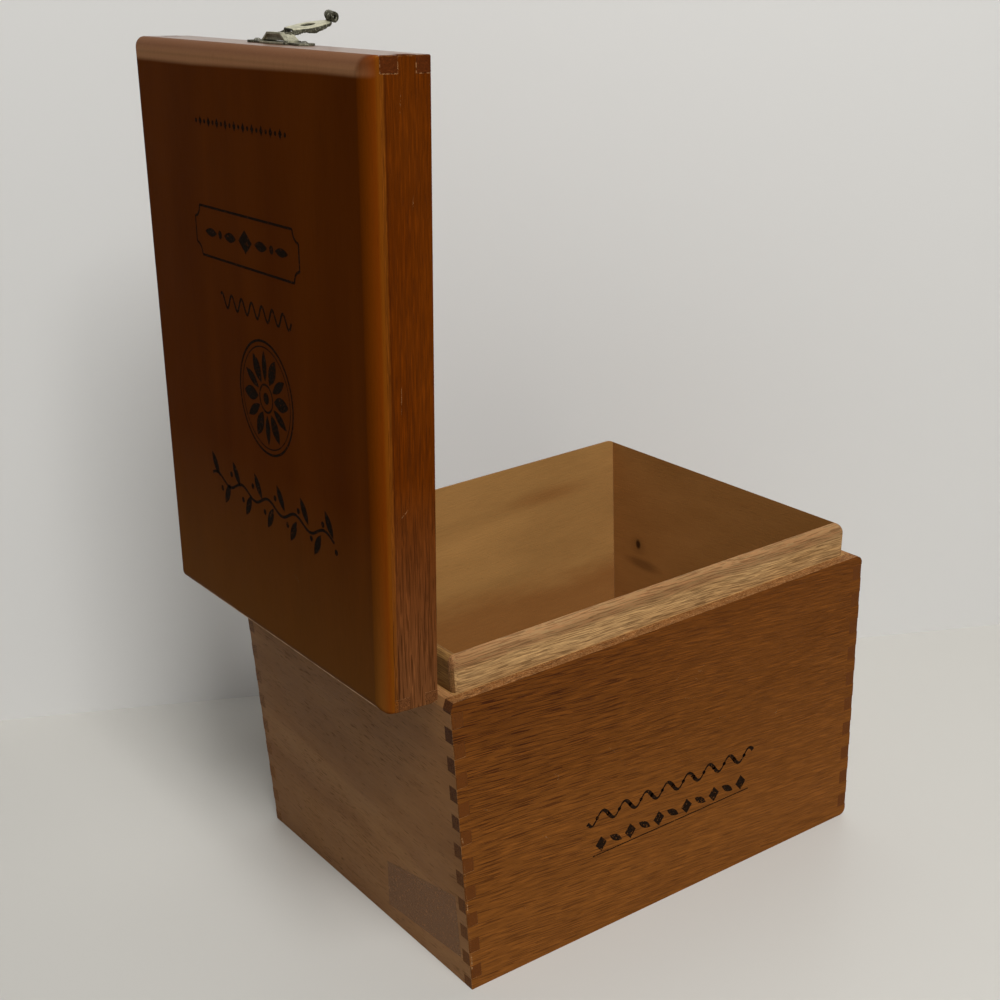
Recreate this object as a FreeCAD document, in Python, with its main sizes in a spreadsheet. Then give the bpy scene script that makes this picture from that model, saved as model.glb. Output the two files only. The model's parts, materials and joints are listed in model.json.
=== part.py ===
"""Hinged wooden box with a rounded inner lip and a small lever clasp on the lid.

Frame: millimetres, +Z up, X along the hinge, -Y the clasp side, +Y the hinge side.
The origin is the middle of the underside. The lid is drawn closed and then turned
open about the hinge pins, because the box rests with its lid open against the stops.
"""
import FreeCAD, Part
import math
import os
import Sketcher

# Driving dimensions, all in millimetres, but for lid_open_angle and lever_rest_angle in degrees.
DIMENSIONS = {
    # carcass: four finger-jointed walls and a floor let in between them
    "box_width": 150.0,
    "box_depth": 187.0,
    "box_height": 115.0,
    "wall": 4.5,
    "floor_thickness": 4.0,
    "finger": 5.61,
    "bottom_finger": 4.55,
    "front_bottom_round": 3.0,
    "front_rim_round": 3.4,
    "bevel_depth": 1.2,
    "bevel_rise": 3.0,
    # liner boards, which stand proud of the rim as a lip
    "liner": 3.3,
    "lip_height": 12.8,
    "lip_relief": 0.4,
    "front_lip_round": 6.2,
    "lip_round": 2.7,
    # lid: four finger-jointed rails under a top panel
    "rail_height": 15.8,
    "rail": 4.5,
    "rail_finger": 5.6,
    "rim_finger": 4.6,
    "top_thickness": 4.8,
    "top_edge_round": 4.3,
    "top_corner_round": 1.0,
    "lid_open_angle": 85.7,
    # butt hinges on the outside of the back
    "hinge_length": 24.0,
    "hinge_inset": 26.0,
    "leaf_thickness": 1.0,
    "leaf_height": 9.0,
    "barrel_radius": 2.2,
    "barrel_gap": 0.3,
    "axis_drop": 1.2,
    "knuckle": 8.0,
    "knuckle_gap": 0.3,
    "hinge_pin_radius": 0.9,
    "running_clearance": 0.05,
    "heel_length": 2.4,
    "heel_thickness": 1.1,
    "heel_gap": 0.12,
    # panel pins (small nails) that hold the leaves and the clasp
    "nail_radius": 0.6,
    "nail_head_radius": 1.15,
    "nail_head_height": 0.5,
    "nail_length": 3.6,
    "nail_clearance": 0.03,
    "hinge_nail_inset": 4.0,
    # clasp plate and its bridge, on the front rail of the lid
    "plate_length": 36.0,
    "plate_height": 6.2,
    "plate_thickness": 0.7,
    "plate_rise": 4.9,
    "plate_nail_inset": 3.1,
    "bridge_length": 16.0,
    "bridge_top_length": 7.6,
    "bridge_height": 5.4,
    "bridge_projection": 3.0,
    "bridge_slot_width": 6.6,
    "bridge_back_wall": 2.0,
    "clasp_pin_radius": 0.5,
    "clasp_pin_length": 8.8,
    "clasp_axis_projection": 2.2,
    "clasp_axis_drop": 1.2,
    # lever: a slotted tongue with turned-down sides and a rolled finger curl
    "lever_length": 16.9,
    "lever_sheet": 0.7,
    "lever_web_height": 0.95,
    "lever_root_width": 5.8,
    "lever_cheek_start": 0.6,
    "lever_web_start": 1.6,
    "lever_width": 7.2,
    "lever_neck_width": 3.2,
    "lever_side_depth": 1.6,
    "lever_slot_start": 6.9,
    "lever_slot_length": 4.6,
    "lever_slot_width": 3.0,
    "curl_radius": 1.6,
    "curl_bore_radius": 0.9,
    "curl_length": 4.0,
    "curl_rise": 3.0,
    "lever_rest_angle": 8.0,
    # catch plate with its upright hook, on the front panel
    "catch_length": 24.0,
    "catch_height": 6.4,
    "catch_thickness": 0.6,
    "catch_nail_inset": 3.0,
    "hook_width": 2.2,
    "hook_thickness": 0.9,
    "hook_projection": 4.4,
    "hook_nose": 0.4,
    "hook_clearance": 0.3,
    # how far the solids that only cut reach past what they cut
    "overrun": 1.0,
}

doc = FreeCAD.newDocument("lidded_box")
sheet = doc.addObject("Spreadsheet::Sheet", "Sizes")


class Size:
    """A length that is known both as a number and as a formula of sheet cells."""

    def __init__(self, number, text):
        self.number = float(number)
        self.text = text

    def combine(self, other, sign, number):
        otherText = other.text if isinstance(other, Size) else repr(float(other))
        return Size(number, "(" + self.text + " " + sign + " " + otherText + ")")

    def __add__(self, other):
        return self.combine(other, "+", self.number + plain(other))

    def __sub__(self, other):
        return self.combine(other, "-", self.number - plain(other))

    def __mul__(self, other):
        return self.combine(other, "*", self.number * plain(other))

    def __truediv__(self, other):
        return self.combine(other, "/", self.number / plain(other))

    def __neg__(self):
        return Size(-self.number, "(-1 * " + self.text + ")")

    def root(self):
        return Size(math.sqrt(self.number), "sqrt(" + self.text + ")")

    def countUp(self):
        return Size(math.ceil(self.number), "ceil(" + self.text + ")")


def plain(value):
    return value.number if isinstance(value, Size) else float(value)


def fillSheet():
    sizes = {}
    for row, (alias, value) in enumerate(DIMENSIONS.items(), start=1):
        sheet.set("A%d" % row, alias.replace("_", " "))
        sheet.set("B%d" % row, str(value))
        sheet.setAlias("B%d" % row, alias)
        sizes[alias] = Size(value, "Sizes." + alias)
    doc.recompute()
    return sizes


D = fillSheet()
ZERO = Size(0.0, "0")

# Places that several pieces share.
halfWidth = D["box_width"] / 2
halfDepth = D["box_depth"] / 2
rim = D["box_height"]
lipTop = rim + D["lip_height"]
innerWidth = D["box_width"] - D["wall"] * 2
innerDepth = D["box_depth"] - D["wall"] * 2
axisY = halfDepth + D["leaf_thickness"] + D["barrel_gap"] + D["barrel_radius"]
axisZ = rim - D["axis_drop"]
claspAxisY = -halfDepth - D["clasp_axis_projection"]
plateZ = rim + D["plate_rise"]
claspAxisZ = plateZ - D["clasp_axis_drop"]
slotEnd = D["lever_slot_start"] + D["lever_slot_length"]
hookBottom = claspAxisZ - slotEnd + D["hook_clearance"] + D["hook_nose"]
catchTop = hookBottom + D["hook_thickness"] / 2 + D["catch_height"] / 2
nailHole = D["nail_radius"] + D["nail_clearance"]
over = D["overrun"]


def bind(feature, prop, size):
    """Ties one property to the sheet, so that it follows the driving dimensions."""
    feature.setExpression(prop, size.text if isinstance(size, Size) else size)


def formula(value):
    return value.text if isinstance(value, Size) else repr(float(value))


def placement(x, y, z, turn):
    """The formula of a placement: a turn (an axis and its angle), then a shift to x, y, z."""
    axis, angle = turn
    shift = "vector(%s; %s; %s)" % (formula(x), formula(y), formula(z))
    return "placement(%s; rotation(vector(%d; %d; %d); %s))" % ((shift,) + axis + (formula(angle),))


X_AXIS, Z_AXIS, Y_AXIS = (1, 0, 0), (0, 0, 1), (0, 1, 0)
NO_TURN = (Z_AXIS, 0)
FACING_FRONT = NO_TURN
FACING_BACK = (Z_AXIS, 180)
FACING_LEFT = (Z_AXIS, -90)
FACING_RIGHT = (Z_AXIS, 90)
ALONG_X = (Y_AXIS, 90)
TOWARDS_BACK = (X_AXIS, -90)
TOWARDS_FRONT = (X_AXIS, 90)

# The lid's swing, from closed to open, about the hinge pins.
OPEN_LID = "placement(vector(0; 0; 0); rotation(vector(1; 0; 0); -1 * %s); vector(0; %s; %s))" % (
    D["lid_open_angle"].text, axisY.text, axisZ.text)


def place(feature, x, y, z, turn=NO_TURN):
    bind(feature, "Placement", placement(x, y, z, turn))


def openWithLid(feature, x=ZERO, y=ZERO, z=ZERO, turn=NO_TURN):
    """Places a lid piece as on the closed box, then swings it open about the hinge pins."""
    bind(feature, "Placement", OPEN_LID + " * " + placement(x, y, z, turn))


# ---------------------------------------------------------------- sketches

def lockPoint(sketch, geometry, end, x, y):
    """Fixes one end of a sketch line by its two distances from the sketch origin."""
    for kind, size in (("DistanceX", x), ("DistanceY", y)):
        index = sketch.addConstraint(Sketcher.Constraint(kind, -1, 1, geometry, end, plain(size)))
        if isinstance(size, Size):
            bind(sketch, "Constraints[%d]" % index, size)


def drawOutline(sketch, corners):
    """Draws a closed outline of straight lines through corners, each fixed by formulas."""
    count = len(corners)
    points = [FreeCAD.Vector(plain(x), plain(y), 0) for x, y in corners]
    first = sketch.GeometryCount
    for index in range(count):
        sketch.addGeometry(Part.LineSegment(points[index], points[(index + 1) % count]), False)
    for index in range(count):
        following = first + (index + 1) % count
        sketch.addConstraint(Sketcher.Constraint("Coincident", first + index, 2, following, 1))
        lockPoint(sketch, first + index, 1, *corners[index])


def drawCircle(sketch, x, y, radius):
    centre = FreeCAD.Vector(plain(x), plain(y), 0)
    circle = sketch.addGeometry(Part.Circle(centre, FreeCAD.Vector(0, 0, 1), plain(radius)), False)
    lockPoint(sketch, circle, 3, x, y)
    index = sketch.addConstraint(Sketcher.Constraint("Radius", circle, plain(radius)))
    bind(sketch, "Constraints[%d]" % index, radius)


def rectangle(left, bottom, right, top):
    return [(left, bottom), (right, bottom), (right, top), (left, top)]


# ---------------------------------------------------------------- bodies

def newBody(name):
    return doc.addObject("PartDesign::Body", name)


def sketchOn(body, role, title):
    """Adds a sketch on one of the body's own origin planes."""
    plane = next(item for item in body.Origin.OriginFeatures if item.Role == role)
    sketch = body.newObject("Sketcher::SketchObject", title)
    sketch.AttachmentSupport = [(plane, "")]
    sketch.MapMode = "FlatFace"
    return sketch


def padOf(body, sketch, length, reverse=False):
    pad = body.newObject("PartDesign::Pad", "Pad")
    pad.Profile = sketch
    bind(pad, "Length", length)
    pad.Reversed = reverse
    doc.recompute()
    return pad


def pocketOf(body, sketch, length, reverse=False):
    """Cuts a sketch into the body and makes sure that the cut took material away."""
    before = body.Shape.Volume
    pocket = body.newObject("PartDesign::Pocket", "Pocket")
    pocket.Profile = sketch
    bind(pocket, "Length", length)
    pocket.Reversed = reverse
    doc.recompute()
    if body.Shape.Volume >= before:
        raise RuntimeError(body.Label + ": a pocket cut nothing")
    return pocket


def edgesAt(shape, matches):
    """Names of the straight edges whose middle point and direction satisfy a test."""
    names = []
    for number, edge in enumerate(shape.Edges, start=1):
        ends = [vertex.Point for vertex in edge.Vertexes]
        if len(ends) == 2 and isinstance(edge.Curve, Part.Line):
            middle = (ends[0] + ends[1]) * 0.5
            along = (ends[1] - ends[0]).normalize()
            if matches(middle, along):
                names.append("Edge%d" % number)
    if not names:
        raise RuntimeError("no edge matches")
    return names


def roundEdges(body, radius, matches):
    """Fillets the straight edges of the body's last feature that satisfy a test."""
    last = body.Tip
    names = edgesAt(last.Shape, matches)
    fillet = body.newObject("PartDesign::Fillet", "Fillet")
    fillet.Base = (last, names)
    bind(fillet, "Radius", radius)
    doc.recompute()
    return fillet


def near(value, size):
    return abs(value - plain(size)) < 1e-4


def crosses(along):
    """True for an edge that runs through a board's thickness."""
    return abs(along.y) > 0.9


def patternUp(body, feature, spacing, count):
    """Repeats a cut upwards along the body's Z axis."""
    axis = next(item for item in body.Origin.OriginFeatures if item.Role == "Z_Axis")
    pattern = body.newObject("PartDesign::LinearPattern", "Fingers")
    pattern.Originals = [feature]
    pattern.Direction = (axis, [""])
    pattern.Mode = "Spacing"
    bind(pattern, "Offset", spacing)
    bind(pattern, "Occurrences", count)
    body.Tip = pattern
    doc.recompute()
    return pattern


# A board is drawn flat: X along it, its outer face at Y = 0, its thickness towards +Y, Z up.

def board(name, outline, thickness):
    body = newBody(name)
    face = sketchOn(body, "XZ_Plane", "Outline")
    drawOutline(face, outline)
    padOf(body, face, thickness, reverse=True)
    return body


def cutNotches(body, length, depth, start, height):
    """Cuts one notch at each end of a board, right through it."""
    notches = sketchOn(body, "XZ_Plane", "Notches")
    drawOutline(notches, rectangle(ZERO, start, depth, start + height))
    drawOutline(notches, rectangle(length - depth, start, length, start + height))
    return pocketOf(body, notches, depth * 2)


def bevelSeam(body, seam, rise):
    """Bevels the board's outer edge at the seam between box and lid."""
    section = sketchOn(body, "YZ_Plane", "Bevel")
    drawOutline(section, [(ZERO, seam), (D["bevel_depth"], seam), (ZERO, seam + rise)])
    pocketOf(body, section, D["box_width"], reverse=True)


def drillFace(body, places, depth):
    """Drills nail holes square into a board's outer face."""
    holes = sketchOn(body, "XZ_Plane", "NailHoles")
    for x, z in places:
        drawCircle(holes, x, z, nailHole)
    pocketOf(body, holes, depth)


nailDepth = D["nail_length"] + D["nail_clearance"]
hingeOffset = halfWidth - D["hinge_inset"] - D["hinge_length"] / 2
hingeCentres = [-hingeOffset, hingeOffset]
nailReach = D["hinge_length"] / 2 - D["hinge_nail_inset"]
bodyLeafTop = axisZ - D["barrel_radius"] + D["leaf_thickness"]
bodyNailZ = bodyLeafTop - D["leaf_height"] / 2
lidLeafBottom = axisZ + D["barrel_radius"] - D["leaf_thickness"]
lidNailZ = lidLeafBottom + D["leaf_height"] / 2
hingeNailX = [centre + reach for centre in hingeCentres for reach in (-nailReach, nailReach)]
plateNailOffset = D["plate_length"] / 2 - D["plate_nail_inset"]
plateNailX = [-plateNailOffset, plateNailOffset]
catchNailOffset = D["catch_length"] / 2 - D["catch_nail_inset"]
catchNailX = [-catchNailOffset, catchNailOffset]
catchZ = catchTop - D["catch_height"] / 2

# ---------------------------------------------------------------- carcass

fingerPair = D["finger"] * 2
endNotchCount = ((D["box_height"] - D["bottom_finger"]) / fingerPair).countUp()
sideNotchCount = ((D["box_height"] - D["bottom_finger"] + D["finger"]) / fingerPair).countUp()


def frontPanel():
    outline = rectangle(ZERO, ZERO, D["box_width"], D["box_height"])
    body = board("front_panel", outline, D["wall"])
    roundEdges(body, D["front_bottom_round"],
               lambda middle, along: near(middle.y, 0) and near(middle.z, 0))
    roundEdges(body, D["front_rim_round"],
               lambda middle, along: near(middle.y, 0) and near(middle.z, D["box_height"]))
    cut = cutNotches(body, D["box_width"], D["wall"], D["bottom_finger"] - D["finger"], D["finger"])
    patternUp(body, cut, fingerPair, sideNotchCount)
    drillFace(body, [(halfWidth + x, catchZ) for x in catchNailX], nailDepth - D["catch_thickness"])
    place(body, -halfWidth, -halfDepth, ZERO, FACING_FRONT)
    return body


def backPanel():
    outline = rectangle(ZERO, ZERO, D["box_width"], D["box_height"])
    body = board("back_panel", outline, D["wall"])
    bevelSeam(body, D["box_height"], -D["bevel_rise"])
    cut = cutNotches(body, D["box_width"], D["wall"], D["bottom_finger"] - D["finger"], D["finger"])
    patternUp(body, cut, fingerPair, sideNotchCount)
    drillFace(body, [(halfWidth - x, bodyNailZ) for x in hingeNailX], nailDepth - D["leaf_thickness"])
    place(body, halfWidth, halfDepth, ZERO, FACING_BACK)
    return body


def endPanel(name, frontAtStart):
    """An end wall: rounded at its two front corners, bevelled at its top back corner."""
    bevel, rise = D["bevel_depth"], D["bevel_rise"]
    width, height = D["box_depth"], D["box_height"]
    if frontAtStart:
        outline = [(ZERO, ZERO), (width, ZERO), (width, height - rise), (width - bevel, height),
                   (ZERO, height)]
        front = ZERO
    else:
        outline = [(ZERO, ZERO), (width, ZERO), (width, height), (bevel, height),
                   (ZERO, height - rise)]
        front = width
    body = board(name, outline, D["wall"])
    roundEdges(body, D["front_bottom_round"],
               lambda middle, along: near(middle.x, front) and near(middle.z, 0) and crosses(along))
    roundEdges(body, D["front_rim_round"],
               lambda middle, along: near(middle.x, front) and near(middle.z, height) and crosses(along))
    cut = cutNotches(body, width, D["wall"], D["bottom_finger"], D["finger"])
    patternUp(body, cut, fingerPair, endNotchCount)
    if frontAtStart:
        place(body, halfWidth, -halfDepth, ZERO, FACING_RIGHT)
    else:
        place(body, -halfWidth, halfDepth, ZERO, FACING_LEFT)
    return body


def bottomPanel():
    body = newBody("bottom_panel")
    sketch = sketchOn(body, "XY_Plane", "Outline")
    drawOutline(sketch, rectangle(-innerWidth / 2, -innerDepth / 2, innerWidth / 2, innerDepth / 2))
    padOf(body, sketch, D["floor_thickness"])
    return body


# ---------------------------------------------------------------- liners

linerHeight = lipTop - D["floor_thickness"]
reliefStart = rim - D["floor_thickness"]
crossLinerLength = innerWidth - D["liner"] * 2


def linerBoard(name, length, endRelief):
    """A liner board; above the rim its outer face and, if it has them, its ends step in."""
    body = board(name, rectangle(ZERO, ZERO, length, linerHeight), D["liner"])
    section = sketchOn(body, "YZ_Plane", "FaceRelief")
    drawOutline(section, rectangle(ZERO, reliefStart, D["lip_relief"], linerHeight))
    pocketOf(body, section, length, reverse=True)
    if endRelief:
        ends = sketchOn(body, "XZ_Plane", "EndRelief")
        drawOutline(ends, rectangle(ZERO, reliefStart, D["lip_relief"], linerHeight))
        drawOutline(ends, rectangle(length - D["lip_relief"], reliefStart, length, linerHeight))
        pocketOf(body, ends, D["liner"])
    return body


def sideLiner(name, frontAtStart):
    body = linerBoard(name, innerDepth, True)
    nearEnd, farEnd = D["lip_relief"], innerDepth - D["lip_relief"]
    front, back = (nearEnd, farEnd) if frontAtStart else (farEnd, nearEnd)
    roundEdges(body, D["front_lip_round"],
               lambda middle, along: near(middle.x, front) and near(middle.z, linerHeight) and crosses(along))
    roundEdges(body, D["lip_round"],
               lambda middle, along: near(middle.x, back) and near(middle.z, linerHeight) and crosses(along))
    roundEdges(body, D["lip_round"],
               lambda middle, along: near(middle.y, D["lip_relief"]) and near(middle.z, linerHeight))
    if frontAtStart:
        place(body, innerWidth / 2, -innerDepth / 2, D["floor_thickness"], FACING_RIGHT)
    else:
        place(body, -innerWidth / 2, innerDepth / 2, D["floor_thickness"], FACING_LEFT)
    return body


def backLiner():
    body = linerBoard("back_liner", crossLinerLength, False)
    roundEdges(body, D["lip_round"],
               lambda middle, along: near(middle.y, D["lip_relief"]) and near(middle.z, linerHeight))
    place(body, crossLinerLength / 2, innerDepth / 2, D["floor_thickness"], FACING_BACK)
    return body


def frontLiner():
    """The front liner's lip is one arc from its outer face over to its inner face."""
    body = linerBoard("front_liner", crossLinerLength, False)
    radius = D["front_lip_round"]
    across = D["liner"] - D["lip_relief"]
    innerRise = (radius * radius - (radius - across) * (radius - across)).root()
    arcStart = linerHeight - radius
    section = sketchOn(body, "YZ_Plane", "LipRound")
    corners = [(D["lip_relief"], arcStart), (D["lip_relief"], linerHeight), (D["liner"], linerHeight),
               (D["liner"], arcStart + innerRise)]
    points = [FreeCAD.Vector(plain(y), plain(z), 0) for y, z in corners]
    for index in range(3):
        section.addGeometry(Part.LineSegment(points[index], points[index + 1]), False)
    centre = FreeCAD.Vector(plain(D["lip_relief"] + radius), plain(arcStart), 0)
    middleTurn = math.pi - 0.5 * math.acos(plain((radius - across) / radius))
    middle = centre + FreeCAD.Vector(math.cos(middleTurn), math.sin(middleTurn), 0) * plain(radius)
    section.addGeometry(Part.Arc(points[3], middle, points[0]), False)
    for index in range(3):
        lockPoint(section, index, 1, *corners[index])
    lockPoint(section, 2, 2, *corners[3])
    section.addConstraint(Sketcher.Constraint("Coincident", 0, 2, 1, 1))
    section.addConstraint(Sketcher.Constraint("Coincident", 1, 2, 2, 1))
    startsAtTop = section.Geometry[3].StartPoint.y > section.Geometry[3].EndPoint.y
    topEnd, lowEnd = (1, 2) if startsAtTop else (2, 1)
    section.addConstraint(Sketcher.Constraint("Coincident", 2, 2, 3, topEnd))
    section.addConstraint(Sketcher.Constraint("Coincident", 0, 1, 3, lowEnd))
    index = section.addConstraint(Sketcher.Constraint("Radius", 3, plain(radius)))
    bind(section, "Constraints[%d]" % index, radius)
    pocketOf(body, section, crossLinerLength, reverse=True)
    place(body, -crossLinerLength / 2, -innerDepth / 2, D["floor_thickness"], FACING_FRONT)
    return body


# ---------------------------------------------------------------- lid

def lidCrossRail(name, isBack):
    body = board(name, rectangle(ZERO, ZERO, D["box_width"], D["rail_height"]), D["rail"])
    if isBack:
        bevelSeam(body, ZERO, D["bevel_rise"])
    cutNotches(body, D["box_width"], D["rail"], D["rim_finger"], D["rail_finger"])
    if isBack:
        drillFace(body, [(halfWidth - x, lidNailZ - rim) for x in hingeNailX],
                  nailDepth - D["leaf_thickness"])
        openWithLid(body, halfWidth, halfDepth, rim, FACING_BACK)
    else:
        drillFace(body, [(halfWidth + x, D["plate_rise"]) for x in plateNailX],
                  nailDepth - D["plate_thickness"])
        openWithLid(body, -halfWidth, -halfDepth, rim, FACING_FRONT)
    return body


def lidSideRail(name, backAtStart):
    """A side rail has the one finger between the two of the rail that it meets."""
    length, height, rail = D["box_depth"], D["rail_height"], D["rail"]
    low = D["rim_finger"]
    high = D["rim_finger"] + D["rail_finger"]
    outline = [(rail, ZERO), (length - rail, ZERO), (length - rail, low), (length, low), (length, high),
               (length - rail, high), (length - rail, height), (rail, height), (rail, high), (ZERO, high),
               (ZERO, low), (rail, low)]
    body = board(name, outline, rail)
    if backAtStart:
        openWithLid(body, -halfWidth, halfDepth, rim, FACING_LEFT)
    else:
        openWithLid(body, halfWidth, -halfDepth, rim, FACING_RIGHT)
    return body


def lidTopPanel():
    body = newBody("lid_top_panel")
    sketch = sketchOn(body, "XY_Plane", "Outline")
    drawOutline(sketch, rectangle(-halfWidth, -halfDepth, halfWidth, halfDepth))
    padOf(body, sketch, D["top_thickness"])
    roundEdges(body, D["top_corner_round"], lambda middle, along: abs(along.z) > 0.9)
    roundEdges(body, D["top_edge_round"], lambda middle, along: near(middle.z, D["top_thickness"]))
    openWithLid(body, z=rim + D["rail_height"])
    return body


# ---------------------------------------------------------------- solids for the fittings

def box(name, x, y, z, length, depth, height):
    block = doc.addObject("Part::Box", name)
    for prop, size in (("Length", length), ("Width", depth), ("Height", height)):
        bind(block, prop, size)
    place(block, x, y, z)
    return block


def rod(name, x, y, z, radius, length, turn):
    cylinder = doc.addObject("Part::Cylinder", name)
    bind(cylinder, "Radius", radius)
    bind(cylinder, "Height", length)
    place(cylinder, x, y, z, turn)
    return cylinder


def prism(name, corners, thickness, x, y, z, turn, circles=()):
    """Extrudes a flat outline, with round holes if any, square to its own plane."""
    sketch = doc.addObject("Sketcher::SketchObject", name + "_outline")
    drawOutline(sketch, corners)
    for circle in circles:
        drawCircle(sketch, *circle)
    solid = doc.addObject("Part::Extrusion", name)
    solid.Base = sketch
    solid.DirMode = "Normal"
    solid.Solid = True
    bind(solid, "LengthFwd", thickness)
    place(sketch, x, y, z, turn)
    return solid


def fused(name, pieces):
    union = doc.addObject("Part::MultiFuse", name)
    union.Shapes = pieces
    return union


def cutFrom(name, base, tool):
    difference = doc.addObject("Part::Cut", name)
    difference.Base = base
    difference.Tool = tool
    return difference


def nail(name, x, y, z, turn):
    """A panel pin whose head starts at its place and whose shank runs back into the wood."""
    shank = rod(name + "_shank", ZERO, ZERO, -D["nail_length"], D["nail_radius"], D["nail_length"], NO_TURN)
    head = doc.addObject("Part::Cone", name + "_head")
    bind(head, "Radius1", D["nail_head_radius"])
    bind(head, "Radius2", D["nail_radius"])
    bind(head, "Height", D["nail_head_height"])
    piece = fused(name, [shank, head])
    place(piece, x, y, z, turn)
    return piece


def group(name, pieces):
    """Separate solids of one kind, kept together as one node."""
    together = doc.addObject("Part::Compound", name)
    together.Links = pieces
    return together


# ---------------------------------------------------------------- hinges

endKnuckle = (D["hinge_length"] - D["knuckle"]) / 2 - D["knuckle_gap"]


def bodyLeaf(name, centre):
    """The lower leaf, with a knuckle at each end of the barrel."""
    start = centre - D["hinge_length"] / 2
    secondKnuckle = centre + D["hinge_length"] / 2 - endKnuckle
    plate = box(name + "_plate", start, halfDepth, bodyLeafTop - D["leaf_height"],
                D["hinge_length"], D["leaf_thickness"], D["leaf_height"])
    pieces = [plate]
    for number, x in enumerate((start, secondKnuckle), start=1):
        pieces.append(rod("%s_barrel_%d" % (name, number), x, axisY, axisZ, D["barrel_radius"],
                          endKnuckle, ALONG_X))
        pieces.append(box("%s_tab_%d" % (name, number), x, halfDepth, axisZ - D["barrel_radius"],
                          endKnuckle, axisY - halfDepth, D["leaf_thickness"]))
    holes = [rod(name + "_bore", start - over, axisY, axisZ, D["hinge_pin_radius"] + D["running_clearance"],
                 D["hinge_length"] + over * 2, ALONG_X)]
    for number, reach in enumerate((-nailReach, nailReach), start=1):
        holes.append(rod("%s_nail_hole_%d" % (name, number), centre + reach, halfDepth - over, bodyNailZ,
                         nailHole, D["leaf_thickness"] + over * 2, TOWARDS_BACK))
    return cutFrom(name, fused(name + "_blank", pieces), fused(name + "_holes", holes))


def lidLeaf(name, centre):
    """The upper leaf, with the middle knuckle and the heel that stops the lid."""
    start = centre - D["hinge_length"] / 2
    knuckleStart = centre - D["knuckle"] / 2
    plate = box(name + "_plate", start, halfDepth, lidLeafBottom,
                D["hinge_length"], D["leaf_thickness"], D["leaf_height"])
    barrel = rod(name + "_barrel", knuckleStart, axisY, axisZ, D["barrel_radius"], D["knuckle"], ALONG_X)
    tab = box(name + "_tab", knuckleStart, halfDepth, lidLeafBottom,
              D["knuckle"], axisY - halfDepth, D["leaf_thickness"])
    # the heel hangs plumb beside the lower leaf when the lid is open
    heel = box(name + "_heel", ZERO, ZERO, ZERO,
               D["knuckle"], D["heel_thickness"], D["barrel_radius"] + D["heel_length"])
    hanging = placement(knuckleStart, halfDepth + D["leaf_thickness"] + D["heel_gap"],
                        axisZ - D["barrel_radius"] - D["heel_length"], NO_TURN)
    bind(heel, "Placement", "minvert(" + OPEN_LID + ") * " + hanging)
    holes = [rod(name + "_bore", start - over, axisY, axisZ, D["hinge_pin_radius"] + D["running_clearance"],
                 D["hinge_length"] + over * 2, ALONG_X)]
    for number, reach in enumerate((-nailReach, nailReach), start=1):
        holes.append(rod("%s_nail_hole_%d" % (name, number), centre + reach, halfDepth - over, lidNailZ,
                         nailHole, D["leaf_thickness"] + over * 2, TOWARDS_BACK))
    leaf = cutFrom(name, fused(name + "_blank", [plate, barrel, tab, heel]), fused(name + "_holes", holes))
    openWithLid(leaf)
    return leaf


def hingePin(name, centre):
    return rod(name, centre - D["hinge_length"] / 2, axisY, axisZ, D["hinge_pin_radius"],
               D["hinge_length"], ALONG_X)


def bodyHingeNails():
    back = halfDepth + D["leaf_thickness"]
    return group("hinge_body_nails", [nail("hinge_body_nail_%d" % number, x, back, bodyNailZ, TOWARDS_BACK)
                                      for number, x in enumerate(hingeNailX, start=1)])


def lidHingeNails():
    back = halfDepth + D["leaf_thickness"]
    nails = group("hinge_lid_nails", [nail("hinge_lid_nail_%d" % number, x, back, lidNailZ, TOWARDS_BACK)
                                      for number, x in enumerate(hingeNailX, start=1)])
    openWithLid(nails)
    return nails


# ---------------------------------------------------------------- clasp

def claspPlate():
    """The plate on the lid: lobed ends, and a bridge with a slot that holds the lever's root."""
    length, height = D["plate_length"], D["plate_height"]
    lobe = height / 2
    front = -halfDepth
    strip = box("clasp_plate_strip", -(length / 2 - lobe), front - D["plate_thickness"], plateZ - lobe,
                length - height, D["plate_thickness"], height)
    lobes = [rod("clasp_plate_lobe_%d" % number, x, front, plateZ, lobe, D["plate_thickness"], TOWARDS_FRONT)
             for number, x in enumerate((-(length / 2 - lobe), length / 2 - lobe), start=1)]
    base, top = D["bridge_length"] / 2, D["bridge_top_length"] / 2
    trapezium = [(-base, ZERO), (base, ZERO), (top, D["bridge_projection"]), (-top, D["bridge_projection"])]
    bridge = prism("clasp_bridge", trapezium, D["bridge_height"],
                   ZERO, front, plateZ - D["bridge_height"] / 2, (Z_AXIS, 180))
    slotTop = plateZ + D["bridge_height"] / 2 - D["bridge_back_wall"]
    slotBottom = plateZ - D["bridge_height"] / 2
    slotDepth = D["bridge_projection"] + over - D["plate_thickness"]
    slot = box("clasp_bridge_slot", -(D["bridge_slot_width"] / 2), front - D["bridge_projection"] - over,
               slotBottom - over, D["bridge_slot_width"], slotDepth, slotTop - slotBottom + over)
    bore = rod("clasp_bridge_bore", -base, claspAxisY, claspAxisZ,
               D["clasp_pin_radius"] + D["nail_clearance"], D["bridge_length"], ALONG_X)
    holes = [rod("clasp_plate_nail_hole_%d" % number, x, front + over, plateZ,
                 nailHole, D["plate_thickness"] + over * 2, TOWARDS_FRONT)
             for number, x in enumerate(plateNailX, start=1)]
    plate = cutFrom("clasp_plate", fused("clasp_plate_blank", [strip, bridge] + lobes),
                    fused("clasp_plate_cuts", [slot, bore] + holes))
    openWithLid(plate)
    return plate


def claspPin():
    pin = rod("clasp_pin", ZERO, ZERO, ZERO, D["clasp_pin_radius"], D["clasp_pin_length"], NO_TURN)
    openWithLid(pin, -(D["clasp_pin_length"] / 2), claspAxisY, claspAxisZ, ALONG_X)
    return pin


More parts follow.
